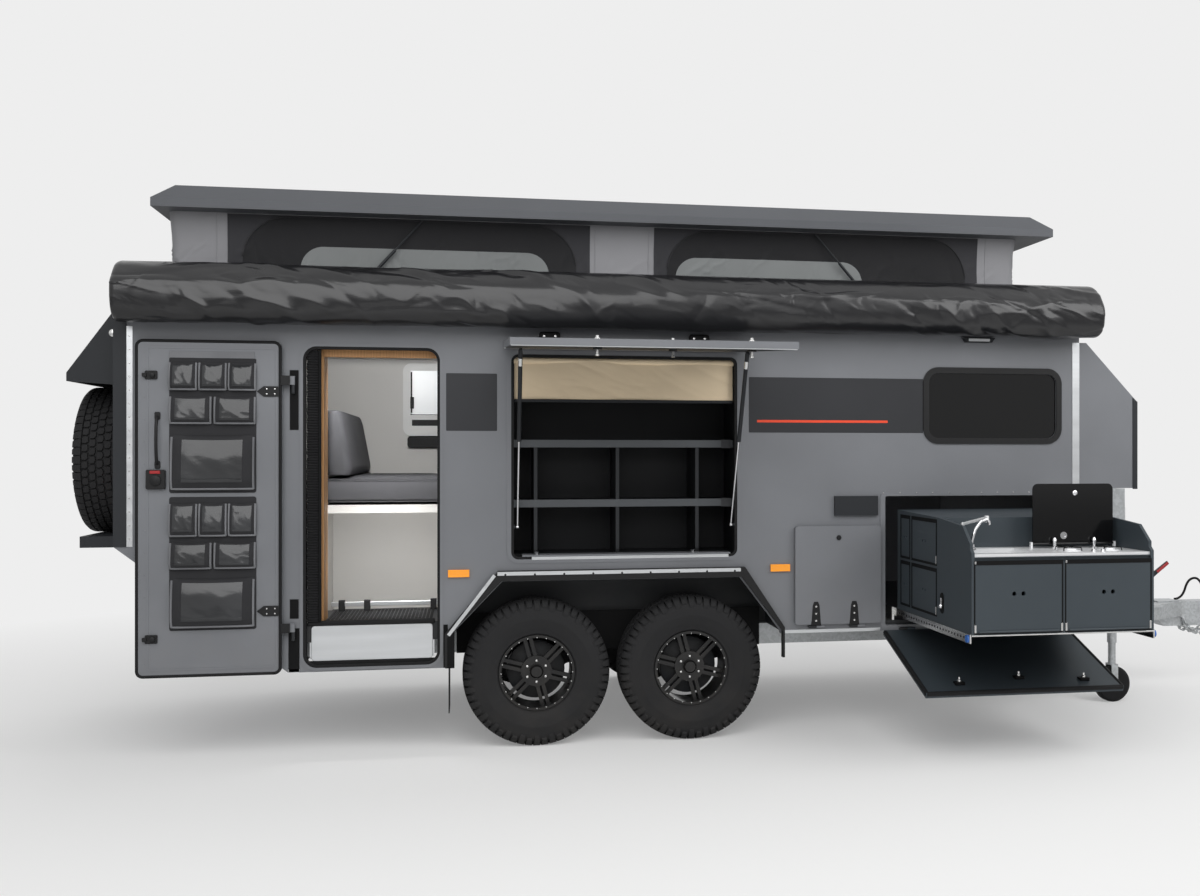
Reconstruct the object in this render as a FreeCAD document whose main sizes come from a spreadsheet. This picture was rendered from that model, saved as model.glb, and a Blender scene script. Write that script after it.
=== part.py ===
import FreeCAD, Part
import Sketcher
import math
import os

# Off-road pop-top camper trailer with a slide-out kitchen, on a tandem axle.
# Frame: X forward to the coupling, Y to the left, Z up, millimetres.
# The origin lies on the ground, on the centreline, midway between the axles.

V = FreeCAD.Vector
os.makedirs("parts", exist_ok=True)
doc = FreeCAD.newDocument("camper")
sheet = doc.addObject("Spreadsheet::Sheet", "Sizes")

DRIVING = {
    # running gear
    "tyre_radius": 400.0,
    "tyre_width": 265.0,
    "lug_count": 20.0,
    "lug_deep": 12.0,
    "lug_long": 72.0,
    "shoulder_deep": 62.0,
    "shoulder_in": 34.0,
    "bead_in": 26.0,
    "rim_radius": 206.0,
    "wheel_set_in": 152.5,
    "axle_half_spacing": 427.5,
    "hub_radius": 62.0,
    "axle_radius": 26.0,
    # body shell
    "body_rear": -2575.0,
    "body_front": 2742.0,
    "body_half": 1100.0,
    "wall_thick": 32.0,
    "body_top": 2440.0,
    "skirt_rear": 450.0,
    "skirt_front": 585.0,
    "ramp_top": 1120.0,
    "ramp_foot": -1720.0,
    "ramp_thick": 50.0,
    "floor_low": 600.0,
    "floor_thick": 40.0,
    "ring_width": 130.0,
    # wheel arch
    "arch_rear": -902.0,
    "arch_front": 930.0,
    "arch_shoulder": 610.0,
    "arch_shoulder_front": 600.0,
    "flare_end": 455.0,
    "arch_top": 907.0,
    "arch_top_rear": -615.0,
    "arch_top_front": 696.0,
    "flare_width": 58.0,
    "flare_proud": 34.0,
    "box_half_gap": 110.0,
    "box_top": 980.0,
    "box_thick": 12.0,
    "box_end_gap": 12.0,
    # entry door
    "door_rear": -1646.0,
    "door_front": -944.0,
    "door_low": 471.0,
    "door_high": 2161.0,
    "door_corner": 70.0,
    "leaf_corner": 34.0,
    "door_lap": 20.0,
    "door_thick": 34.0,
    "door_hinge": -1692.0,
    "leaf_gap": 6.0,
    "hinge_out": 25.0,
    "seal_width": 14.0,
    # serving hatch
    "hatch_rear": -568.0,
    "hatch_front": 680.0,
    "hatch_low": 1024.0,
    "hatch_high": 2135.0,
    "hatch_corner": 40.0,
    "hatch_lap": 43.0,
    "hatch_thick": 34.0,
    "hatch_open": 86.0,
    "hatch_hinge_up": 2184.0,
    "strut_down": 400.0,
    "strut_foot_down": 984.0,
    "strut_radius": 11.0,
    "strut_rod": 5.0,
    # kitchen opening and slide-out
    "kitchen_rear": 1545.0,
    "kitchen_front": 2612.0,
    "kitchen_low": 616.0,
    "kitchen_high": 1354.0,
    "kitchen_frame": 30.0,
    "unit_rear": 1618.0,
    "unit_front": 2589.0,
    "unit_low": 702.0,
    "unit_reach": 1100.0,
    "unit_tail_gap": 5.0,
    "bench_top": 1090.0,
    "bench_depth": 455.0,
    "tall_rise": 172.0,
    "panel_board": 16.0,
    "side_door_gap": 4.0,
    "side_door_wide": 376.0,
    "side_door_high": 232.0,
    "bowl_long": 340.0,
    "bowl_wide": 290.0,
    "bowl_deep": 120.0,
    "lid_rear": 2085.0,
    "lid_wide": 450.0,
    "lid_high": 312.0,
    "lid_back": 320.0,
    "lid_up": 24.0,
    # drop panel
    "drop_length": 738.0,
    "drop_droop": 18.6,
    "drop_thick": 30.0,
    "drop_hinge_up": 596.0,
    # access hatch
    "access_rear": 1008.0,
    "access_front": 1509.0,
    "access_low": 634.0,
    "access_high": 1188.0,
    "access_corner": 18.0,
    "access_hinge_out": 18.0,
    # side window
    "window_rear": 1774.0,
    "window_front": 2628.0,
    "window_low": 1653.0,
    "window_high": 2095.0,
    "window_corner": 90.0,
    "frame_width": 34.0,
    "side_window_rear": -1238.0,
    "side_window_front": -438.0,
    "side_window_low": 1712.0,
    "side_window_high": 2221.0,
    "surround_width": 22.0,
    "surround_proud": 4.0,
    "glass_thick": 6.0,
    # nose box
    "nose_reach": 373.0,
    "nose_low": 1392.0,
    "nose_high": 2250.0,
    "nose_shoulder": 1904.0,
    "nose_step": 45.0,
    "nose_wall": 25.0,
    # pop-top roof
    "roof_rear": -2398.0,
    "roof_front": 2577.0,
    "roof_low": 2870.0,
    "roof_lip": 44.0,
    "roof_high": 3000.0,
    "roof_slope": 100.0,
    "roof_thick": 34.0,
    "lift_travel": 425.0,
    "canvas_rear": -2352.0,
    "canvas_front": 2425.0,
    "canvas_set_in": 120.0,
    "canvas_thick": 6.0,
    "stay_foot": 925.0,
    "stay_head": 1291.0,
    "stay_width": 8.0,
    "stay_shift": 24.0,
    # awning
    "bag_rear": -2544.0,
    "bag_front": 2794.0,
    "bag_low": 2260.0,
    "bag_high": 2560.0,
    "bag_gap": 40.0,
    "bag_deep": 200.0,
    # chassis
    "rail_gap": 50.0,
    "rail_width": 60.0,
    "rail_low": 480.0,
    "coupling_front": 4480.0,
    "drawbar_join": 3900.0,
    "drawbar_high": 576.0,
    "drawbar_low": 410.0,
    "lever_behind": 260.0,
    "arm_deep": 100.0,
    "locker_reach": 458.0,
    "locker_half": 800.0,
    "locker_low": 720.0,
    "bottle_ahead": 240.0,
    "bottle_half": 185.0,
    "bottle_radius": 155.0,
    "bottle_up": 590.0,
    "jockey_ahead": 78.0,
    "jockey_tube": 30.0,
    "tray_clear": 92.0,
    "jockey_clear": 0.533,
    "arm_tip": 75.0,
    "tail_lamp_proud": 8.0,
    "jockey_radius": 115.0,
    "coupling_bore": 25.0,
    "chain_wire": 9.0,
    "chain_link": 56.0,
    "chain_width": 34.0,
    # cabin
    "entry_top": 700.0,
    "entry_deep": 500.0,
    "seat_rear": -1630.0,
    "seat_top": 1290.0,
    "seat_edge": 34.0,
    "bench_space": 560.0,
    "cabin_board": 18.0,
    "cushion_thick": 165.0,
    "back_high": 1850.0,
    "back_foot": 185.0,
    "back_head": 85.0,
    "cabinet_deep": 300.0,
    "cabinet_set_back": 72.0,
    "shelf_thick": 24.0,
    # rear
    "hood_out": 280.0,
    "hood_top": 2340.0,
    "hood_lip": 1976.0,
    "hood_half": 900.0,
    "spare_face": 2850.0,
    "spare_up": 1564.0,
    "spare_half": 480.0,
    # fits
    "seat_gap": 0.3,
    "run_gap": 6.0,
    "knuckle": 9.0,
    "knuckle_length": 45.0,
}


class Size:
    """A length in millimetres with the sheet expression that gives it."""

    def __init__(self, value, text):
        self.value = float(value)
        self.text = text

    def joined(self, other, sign, value, turned=False):
        """Return this size joined with another one by the sign."""
        other = as_size(other)
        first, second = (other, self) if turned else (self, other)
        return Size(value, "({} {} {})".format(first.text, sign, second.text))

    def __add__(self, other):
        return self.joined(other, "+", self.value + number(other))

    def __radd__(self, other):
        return self.joined(other, "+", self.value + number(other), True)

    def __sub__(self, other):
        return self.joined(other, "-", self.value - number(other))

    def __rsub__(self, other):
        return self.joined(other, "-", number(other) - self.value, True)

    def __mul__(self, other):
        return self.joined(other, "*", self.value * number(other))

    def __rmul__(self, other):
        return self.joined(other, "*", self.value * number(other), True)

    def __truediv__(self, other):
        return self.joined(other, "/", self.value / number(other))

    def __neg__(self):
        return Size(-self.value, "(0 - {})".format(self.text))


def number(value):
    """Return the plain number of a size."""
    return value.value if isinstance(value, Size) else float(value)


def as_size(value):
    """Return a size for a number or a size."""
    return value if isinstance(value, Size) else Size(value, repr(float(value)))


def cosine(degrees):
    """Return the cosine of an angle from the sheet."""
    return Size(math.cos(math.radians(number(degrees))), "cos({} * 1 deg)".format(degrees.text))


def root(value):
    """Return the square root of a size."""
    return Size(math.sqrt(value.value), "sqrt({})".format(value.text))


def sine(degrees):
    """Return the sine of an angle from the sheet."""
    return Size(math.sin(math.radians(number(degrees))), "sin({} * 1 deg)".format(degrees.text))


class Sheet:
    """The driving sizes, read by name."""

    def __init__(self, values):
        for row, (name, value) in enumerate(values.items(), start=1):
            sheet.set("A%d" % row, name)
            sheet.set("B%d" % row, repr(value))
            sheet.setAlias("B%d" % row, name)
            setattr(self, name, Size(value, "Sizes." + name))
        doc.recompute()


S = Sheet(DRIVING)
NODES = []


def bind(thing, prop, size):
    """Set a property from a size and keep it bound to the sheet."""
    size = as_size(size)
    if "Sizes." in size.text:
        thing.setExpression(prop, size.text)
        return
    if prop in thing.PropertiesList:
        setattr(thing, prop, size.value)


def place(thing, x=0, y=0, z=0, rotation=None):
    """Put a thing at a point, bound to the sheet, with an optional turn."""
    base = V(number(x), number(y), number(z))
    thing.Placement = FreeCAD.Placement(base, rotation or FreeCAD.Rotation())
    bind(thing, ".Placement.Base.x", x)
    bind(thing, ".Placement.Base.y", y)
    bind(thing, ".Placement.Base.z", z)
    return thing


def box(label, xs, ys, zs):
    """Return a box between low and high values on each axis."""
    made = doc.addObject("Part::Box", "Block")
    made.Label = label
    for prop, (low, high) in zip(("Length", "Width", "Height"), (xs, ys, zs)):
        bind(made, prop, as_size(high) - low)
    return place(made, xs[0], ys[0], zs[0])


AXES = {
    "x": FreeCAD.Rotation(V(0, 1, 0), 90),
    "y": FreeCAD.Rotation(V(1, 0, 0), -90),
    "z": FreeCAD.Rotation(),
}


def rod(label, axis, start, radius, length):
    """Return a round bar from a start point along an axis."""
    made = doc.addObject("Part::Cylinder", "Rod")
    made.Label = label
    bind(made, "Radius", radius)
    bind(made, "Height", length)
    return place(made, start[0], start[1], start[2], AXES[axis])


def outline(body, role, points):
    """Draw a closed outline on one of a body's planes, every corner bound to the sheet."""
    sketch = body.newObject("Sketcher::SketchObject", "Outline")
    plane = [f for f in body.Origin.OriginFeatures if f.Role == role][0]
    sketch.AttachmentSupport = [(plane, "")]
    sketch.MapMode = "FlatFace"
    flat = [(number(a), number(b)) for a, b in points]
    count = len(flat)
    for i in range(count):
        a, b = flat[i], flat[(i + 1) % count]
        sketch.addGeometry(Part.LineSegment(V(a[0], a[1], 0), V(b[0], b[1], 0)), False)
    for i in range(count):
        met = Sketcher.Constraint("Coincident", i, 2, (i + 1) % count, 1)
        sketch.addConstraint(met)
    for i in range(count):
        for k, kind in enumerate(("DistanceX", "DistanceY")):
            if abs(flat[i][k]) < 1e-7:
                sketch.addConstraint(Sketcher.Constraint("PointOnObject", i, 1, -2 + k))
                continue
            made = sketch.addConstraint(Sketcher.Constraint(kind, i, 1, flat[i][k]))
            bind(sketch, "Constraints[%d]" % made, points[i][k])
    return sketch


PLANES = {"xy": "XY_Plane", "xz": "XZ_Plane", "yz": "YZ_Plane"}
DEPTH_AXIS = {"xy": V(0, 0, 1), "xz": V(0, 1, 0), "yz": V(1, 0, 0)}


def prism(label, plane, points, low, high, radius=None, corners=None):
    """Return an outline on a plane, padded from a low to a high value across it."""
    body = doc.addObject("PartDesign::Body", "Prism")
    body.Label = label
    sketch = outline(body, PLANES[plane], points)
    pad = body.newObject("PartDesign::Pad", "Pad")
    pad.Profile = sketch
    bind(pad, "Length", as_size(high) - low)
    body.Tip = pad
    if plane == "xy":
        place(body, 0, 0, low)
    if plane == "xz":
        place(body, 0, high, 0)
    if plane == "yz":
        place(body, low, 0, 0)
    if radius is not None:
        doc.recompute()
        round_corners(body, pad, plane, points, radius, corners)
    return body


def round_corners(body, pad, plane, points, radius, corners):
    """Round the edges that run across the plane at the chosen corners."""
    wanted = [points[i] for i in (corners or range(len(points)))]
    places = [(number(a), number(b)) for a, b in wanted]
    names = []
    for index, edge in enumerate(pad.Shape.Edges, start=1):
        way = edge.lastVertex().Point - edge.firstVertex().Point
        if way.cross(DEPTH_AXIS[plane]).Length > 1e-6:
            continue
        p = edge.firstVertex().Point
        flat = {"xy": (p.x, p.y), "xz": (p.x, p.z), "yz": (p.y, p.z)}[plane]
        if any(abs(flat[0] - a) + abs(flat[1] - b) < 1e-4 for a, b in places):
            names.append("Edge%d" % index)
    fillet = body.newObject("PartDesign::Fillet", "Rounding")
    fillet.Base = (pad, names)
    bind(fillet, "Radius", radius)
    body.Tip = fillet


def rectangle(low_a, high_a, low_b, high_b):
    """Return the corners of a rectangle."""
    return [(low_a, low_b), (high_a, low_b), (high_a, high_b), (low_a, high_b)]


def turned(label, points, axis, x, y, z):
    """Return a profile of radius and height, turned about an axis at a point."""
    body = doc.addObject("PartDesign::Body", "Turned")
    body.Label = label
    sketch = outline(body, "XZ_Plane", points)
    spin = body.newObject("PartDesign::Revolution", "Spin")
    spin.Profile = sketch
    spin.ReferenceAxis = (sketch, ["V_Axis"])
    spin.Angle = 360.0
    body.Tip = spin
    return place(body, x, y, z, AXES[axis])


def joined(label, kind, things):
    """Return several things as one document object of a kind."""
    made = doc.addObject(kind, "Joined")
    made.Label = label
    if kind == "Part::Compound":
        made.Links = things
    else:
        made.Shapes = things
    return made


def group(label, things):
    """Return like pieces that don't touch as one object."""
    return joined(label, "Part::Compound", things)


def fuse(label, things):
    """Return pieces fused to one solid."""
    made = joined(label, "Part::MultiFuse", things)
    made.Refine = True
    return made


def cut(label, base, tools):
    """Return a base with tools cut away."""
    made = doc.addObject("Part::Cut", "Cut")
    made.Label = label
    made.Base = base
    made.Tool = tools[0] if len(tools) == 1 else group(label + " tools", tools)
    return made


def mirrored(label, source, normal=(0, 1, 0)):
    """Return a thing mirrored across the plane through the origin."""
    made = doc.addObject("Part::Mirroring", "Mirror")
    made.Label = label
    made.Source = source
    made.Normal = V(*normal)
    return made


def node(thing):
    """Note a finished piece, which is written under its label."""
    NODES.append(thing)
    return thing


def ring(label, plane, a, b, width, low, high, corner):
    """Return a frame round a rectangle, with rounded corners inside and out."""
    outer = prism(label + " outer", plane, rectangle(a[0] - width, a[1] + width, b[0] - width, b[1] + width),
                  low, high, corner + width)
    inner = prism(label + " inner", plane, rectangle(a[0], a[1], b[0], b[1]), low - 5, high + 5, corner)
    return cut(label, outer, [inner])


def hinge(axis, along, y, other, wall=None):
    """Return a fixed knuckle with its ear to the wall, and a moving one beside it on the hinge line."""
    wall = right_out if wall is None else wall
    r = S.knuckle
    size = S.knuckle_length
    made = []
    for start in (along, along + size + S.seat_gap):
        point = (start, y, other) if axis == "x" else (other, y, start)
        made.append(rod("knuckle", axis, point, r, size))
    if axis == "x":
        ear = box("ear", (along, along + size), (y, wall), (other - 3, other + 3))
    else:
        ear = box("ear", (other - 3, other + 3), (y, wall), (along, along + size))
    return fuse("fixed knuckle", [made[0], ear]), made[1]


def solid_feature(label, shape):
    """Return a shape made by Part functions as a document object."""
    made = doc.addObject("Part::Feature", "Made")
    made.Label = label
    made.Shape = shape
    return made


right_out = -S.body_half
right_in = -S.body_half + S.wall_thick
left_in = S.body_half - S.wall_thick
front_in = S.body_front - S.wall_thick
rear_in = S.body_rear + S.wall_thick
half_track = S.body_half - S.wheel_set_in
rail_half = half_track - S.tyre_width / 2 - S.rail_gap - S.rail_width / 2
canvas_half = S.body_half - S.canvas_set_in
nose_front = S.body_front + S.nose_reach
locker_front = S.body_front + S.locker_reach
bottle_x = locker_front + S.bottle_ahead
jockey_x = locker_front + S.jockey_ahead
arm_rear = S.body_front - 60
arm_side = rail_half + S.rail_width / 2
arm_lean = (arm_side - S.arm_tip) / (S.drawbar_join + 120 - arm_rear)
jockey_off = (S.jockey_tube + S.jockey_clear) * root(arm_lean * arm_lean + 1)
jockey_y = arm_side - (jockey_x - arm_rear) * arm_lean + jockey_off
tray_half = jockey_y - S.jockey_tube - S.tray_clear
tall_top = S.bench_top + S.tall_rise
unit_face = right_out - S.unit_reach
unit_back = right_out - S.unit_tail_gap


def wall_profile():
    """Return the side outline of the body with its wheel arch."""
    return [
        (S.body_rear, S.ramp_top), (S.ramp_foot, S.skirt_rear),
        (S.arch_rear, S.skirt_rear), (S.arch_rear, S.arch_shoulder),
        (S.arch_top_rear, S.arch_top), (S.arch_top_front, S.arch_top),
        (S.arch_front, S.arch_shoulder_front), (S.arch_front, S.skirt_front),
        (S.body_front, S.skirt_front), (S.body_front, S.body_top), (S.body_rear, S.body_top),
    ]


def opening(label, a, b, corner, side=-1):
    """Return a tool that cuts a rounded opening through a side wall."""
    low, high = (right_out - 10, right_in + 10) if side < 0 else (left_in - 10, S.body_half + 10)
    return prism(label, "xz", rectangle(a[0], a[1], b[0], b[1]), low, high, corner)


def make_walls():
    """Make the shell: side walls, end walls, rear ramp panel, floor and top frame."""
    right = prism("wall_right plain", "xz", wall_profile(), right_out, right_in)
    node(cut("wall_right", right, [
        opening("door hole", (S.door_rear, S.door_front), (S.door_low, S.door_high), S.door_corner),
        opening("hatch hole", (S.hatch_rear, S.hatch_front), (S.hatch_low, S.hatch_high), S.hatch_corner),
        opening("kitchen hole", (S.kitchen_rear, S.kitchen_front), (S.kitchen_low, S.kitchen_high), 12),
        opening("access hole", (S.access_rear + 24, S.access_front - 24),
                (S.access_low + 24, S.access_high - 24), S.access_corner),
        opening("window hole", (S.window_rear + S.frame_width, S.window_front - S.frame_width),
                (S.window_low + S.frame_width, S.window_high - S.frame_width), S.window_corner - S.frame_width),
    ]))
    left = prism("wall_left plain", "xz", wall_profile(), left_in, S.body_half)
    node(cut("wall_left", left, [
        opening("left window hole", (S.window_rear + S.frame_width, S.window_front - S.frame_width),
                (S.window_low + S.frame_width, S.window_high - S.frame_width),
                S.window_corner - S.frame_width, 1),
        opening("left rear window hole", (S.side_window_rear + S.frame_width, S.side_window_front - S.frame_width),
                (S.side_window_low + S.frame_width, S.side_window_high - S.frame_width),
                S.window_corner - S.frame_width, 1),
    ]))
    rear = box("rear wall", (S.body_rear, rear_in), (right_in, left_in), (S.ramp_top, S.body_top))
    front = box("front wall", (front_in, S.body_front), (right_in, left_in), (S.skirt_front, S.body_top))
    ramp = prism("ramp panel", "xz", [
        (S.body_rear, S.ramp_top), (S.ramp_foot, S.skirt_rear),
        (S.ramp_foot + S.ramp_thick, S.skirt_rear), (S.body_rear + S.ramp_thick, S.ramp_top),
    ], right_in, left_in)
    lean = (S.ramp_foot - S.body_rear) / (S.ramp_top - S.skirt_rear)
    start = S.ramp_foot + S.ramp_thick - (S.floor_low - S.skirt_rear) * lean
    top = S.ramp_foot + S.ramp_thick - (S.floor_low + S.floor_thick - S.skirt_rear) * lean
    slab = prism("floor plain", "xz", [
        (start, S.floor_low), (front_in, S.floor_low),
        (front_in, S.floor_low + S.floor_thick), (top, S.floor_low + S.floor_thick),
    ], right_in, left_in)
    tool = box("floor notch", (box_rear, box_front), (right_in - 5, box_inner),
               (S.floor_low - 5, S.floor_low + S.floor_thick + 5))
    slab = cut("floor slab", slab, [tool, mirrored("floor notch left", tool)])
    cover = wheel_box()
    plinth = box("entry plinth", (S.seat_rear, box_rear), (right_in, -S.entry_deep),
                 (S.floor_low + S.floor_thick, S.entry_top))
    node(fuse("floor", [slab, plinth, cover, mirrored("wheel box left", cover)]))
    plate = box("roof_ring plain", (rear_in, front_in), (right_in, left_in),
                (S.body_top - S.wall_thick, S.body_top))
    hole = box("roof_ring hole", (rear_in + S.ring_width, front_in - S.ring_width),
               (right_in + S.ring_width, left_in - S.ring_width), (S.body_top - 60, S.body_top + 10))
    ring_frame = cut("roof ring", plate, [hole])
    node(fuse("end_walls", [rear, front, ramp, ring_frame]))


tyre_out = -half_track - S.tyre_width / 2
tyre_in = -half_track + S.tyre_width / 2
box_rear = S.arch_rear - S.box_end_gap
box_front = S.arch_front + S.box_end_gap
box_inner = tyre_in + S.box_half_gap


def wheel_box():
    """Return the box over one pair of wheels inside the cabin."""
    outer = box("wheel box outer", (box_rear, box_front), (right_in, box_inner), (S.floor_low, S.box_top))
    inner = box("wheel box inner", (box_rear + S.box_thick, box_front - S.box_thick),
                (right_in - 5, box_inner - S.box_thick), (S.floor_low - 5, S.box_top - S.box_thick))
    return cut("wheel box right", outer, [inner])


def make_flares():
    """Make the flares round the wheel arches and the mud flaps."""
    w = S.flare_width
    lip = 4
    outer_line = [
        (S.arch_rear - w * 0.3, S.flare_end), (S.arch_rear - w * 0.3, S.arch_shoulder + w * 0.4),
        (S.arch_top_rear - w * 0.4, S.arch_top + w), (S.arch_top_front + w * 0.4, S.arch_top + w),
        (S.arch_front + w * 0.3, S.arch_shoulder_front + w * 0.4), (S.arch_front + w * 0.3, S.flare_end),
    ]
    inner_line = [
        (S.arch_front + lip, S.flare_end), (S.arch_front + lip, S.arch_shoulder_front + lip),
        (S.arch_top_front + lip, S.arch_top + lip), (S.arch_top_rear - lip, S.arch_top + lip),
        (S.arch_rear - lip, S.arch_shoulder + lip), (S.arch_rear - lip, S.flare_end),
    ]
    flare = prism("flare right", "xz", outer_line + inner_line, right_out - S.flare_proud, right_out)
    flap = box("mud flap right", (S.arch_rear + 2, S.arch_rear + 8), (tyre_out + 10, tyre_in - 10), (200, 600))
    bar = box("mud flap bar", (S.arch_rear - 5, S.arch_rear + 2), (right_in, tyre_in + 20), (560, 600))
    one = fuse("mud flap right whole", [flap, bar])
    node(group("fender_flares", [flare, mirrored("flare left", flare), one, mirrored("mud flap left", one)]))


def make_seals():
    """Make the rubber seals in the wall openings."""
    w = S.seal_width
    door = ring("door seal", "xz", (S.door_rear + w, S.door_front - w), (S.door_low + w, S.door_high - w),
                w, right_out, right_in, S.door_corner - w)
    hatch = ring("hatch seal", "xz", (S.hatch_rear + w, S.hatch_front - w), (S.hatch_low + w, S.hatch_high - w),
                 w, right_out, right_in, S.hatch_corner - w)
    node(group("opening_seals", [door, hatch]))


def make_windows():
    """Make the window frames and their panes."""
    frames = []
    panes = []
    w = S.frame_width
    main = (S.window_rear, S.window_front, S.window_low, S.window_high)
    rear_one = (S.side_window_rear, S.side_window_front, S.side_window_low, S.side_window_high)
    for side, (rear, front, low, high) in ((-1, main), (1, main), (1, rear_one)):
        face = right_out - 8 if side < 0 else S.body_half
        frames.append(ring("window frame", "xz", (rear + w, front - w), (low + w, high - w), w,
                           face, face + 8, S.window_corner - w))
        mid = right_out + 6 if side < 0 else S.body_half - 12
        panes.append(prism("window pane", "xz", rectangle(rear + w, front - w, low + w, high - w),
                           mid, mid + S.glass_thick, S.window_corner - w))
    node(group("window_frames", frames))
    node(group("window_glass", panes))


def make_nose():
    """Make the locker that overhangs the drawbar."""
    t = S.nose_wall
    outer = prism("nose plain", "xz", [
        (S.body_front, S.nose_low), (nose_front, S.nose_low), (nose_front, S.nose_shoulder),
        (S.body_front + S.nose_step, S.nose_high), (S.body_front, S.nose_high),
    ], right_out, S.body_half)
    inner = prism("nose hollow", "xz", [
        (S.body_front + t, S.nose_low + t), (nose_front - t, S.nose_low + t),
        (nose_front - t, S.nose_shoulder - t * 0.4), (S.body_front + S.nose_step, S.nose_high - t * 1.4),
        (S.body_front + t, S.nose_high - t * 1.4),
    ], right_out + t, S.body_half - t)
    node(cut("nose_box", outer, [inner]))
    face = prism("nose trim", "xz", [
        (nose_front - 30, S.nose_low - 6), (nose_front, S.nose_low - 6),
        (nose_front, S.nose_shoulder), (nose_front - 30, S.nose_shoulder + 26),
    ], right_out - 4, right_out)
    return [face, mirrored("nose trim left", face)]


def make_trims(edges):
    """Make the metal strips and the dark corner posts on the side walls."""
    made = []
    for x0, x1, z0 in ((S.body_rear + 64, S.body_rear + 93, S.ramp_top),
                       (S.body_front - 44, S.body_front, S.nose_low)):
        strip = box("strip", (x0, x1), (right_out - 3, right_out), (z0, S.bag_low - 10))
        made += [strip, mirrored("strip left", strip)]
    rear_sill, front_sill = S.skirt_rear, S.skirt_front
    for x0, x1, z0 in (
            (S.ramp_foot, S.door_rear - 18, rear_sill),
            (S.arch_front + 25, S.kitchen_rear - S.kitchen_frame, front_sill)):
        strip = box("sill strip", (x0, x1), (right_out - 3, right_out), (z0, z0 + 18))
        made += [strip, mirrored("sill strip left", strip)]
    made.append(box("step panel", (S.door_rear + 30, S.door_front - 30), (right_in, right_in + 3),
                    (S.door_low + 40, S.floor_low)))
    node(group("metal_strips", made))
    post = box("rear post", (S.body_rear, S.body_rear + 64), (right_out - 6, right_out),
               (S.ramp_top, S.body_top - 40))
    vent = box("vent cover", (1242, 1497), (right_out - 22, right_out), (1246, 1356))
    node(group("dark_trims", [post, mirrored("rear post left", post), vent] + edges))
    lamps = []
    for x in (S.arch_rear, S.arch_front - 60):
        lamp = box("lamp", (x, x + 112), (right_out - 14, right_out), (935, 975))
        lamps += [lamp, mirrored("lamp left", lamp)]
    tail = box("tail lamp", (S.body_rear - S.tail_lamp_proud, S.body_rear), (right_out + 90, right_out + 170),
               (S.ramp_top + 110, S.ramp_top + 440))
    node(group("lamps", lamps + [tail, mirrored("tail lamp left", tail)]))


def make_roof():
    """Make the pop-top roof, its canvas and the stays outside the canvas."""
    t = S.roof_thick
    lip_top = S.roof_low + S.roof_lip
    skirt = box("roof lip", (S.roof_rear, S.roof_front), (right_out, S.body_half), (S.roof_low, lip_top))

    def edge(inset, up):
        """Return the roof's outline this far in from its edge, at a height."""
        rear, front, half = S.roof_rear.value + inset, S.roof_front.value - inset, S.body_half.value - inset
        corners = [V(rear, -half, up), V(front, -half, up), V(front, half, up), V(rear, half, up)]
        return Part.makePolygon(corners + corners[:1])
    crown = solid_feature("roof crown", Part.makeLoft(
        [edge(0.0, lip_top.value), edge(S.roof_slope.value, S.roof_high.value)], True, True))
    whole = fuse("roof whole", [skirt, crown])
    hollow = box("roof hollow", (S.canvas_rear + 60, S.canvas_front - 60), (60 - canvas_half, canvas_half - 60),
                 (S.roof_low - 5, S.roof_high - t))
    node(cut("pop_top_roof", whole, [hollow]))
    c = S.canvas_thick
    outer = box("canvas outer", (S.canvas_rear, S.canvas_front), (-canvas_half, canvas_half),
                (S.body_top, S.roof_low))
    inner = box("canvas inner", (S.canvas_rear + c, S.canvas_front - c), (-canvas_half + c, canvas_half - c),
                (S.body_top - 5, S.roof_low + 5))
    node(cut("canvas", outer, [inner]))
    arms = []
    w = S.stay_width
    outside = -canvas_half - S.seat_gap
    rear, front = S.canvas_rear + S.stay_shift, S.canvas_front + S.stay_shift
    for foot, head in ((rear + S.stay_foot, rear + S.stay_head), (front - S.stay_foot, front - S.stay_head)):
        arm = prism("lift arm", "xz", [(foot - w, S.body_top), (foot + w, S.body_top),
                                       (head + w, S.roof_low), (head - w, S.roof_low)], outside - w, outside)
        arms += [arm, mirrored("lift arm left", arm)]
    node(group("lift_arms", arms))


def make_awning():
    """Make the awning in its bag and the rail that carries it."""
    y1 = right_out - S.bag_gap
    y0 = y1 - S.bag_deep
    node(prism("awning_bag", "yz", [
        (y0 + 60, S.bag_low), (y1, S.bag_low + 10), (y1, S.bag_high),
        (y0 + 70, S.bag_high), (y0, S.bag_high - 70), (y0, S.bag_low + 60),
    ], S.bag_rear, S.bag_front, 30, [0, 3, 4, 5]))
    ends = (S.bag_rear + 20, S.body_front - 20)
    return [box("awning rail", ends, (y1, right_out), (S.body_top - 90, S.body_top - 10))]


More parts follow.
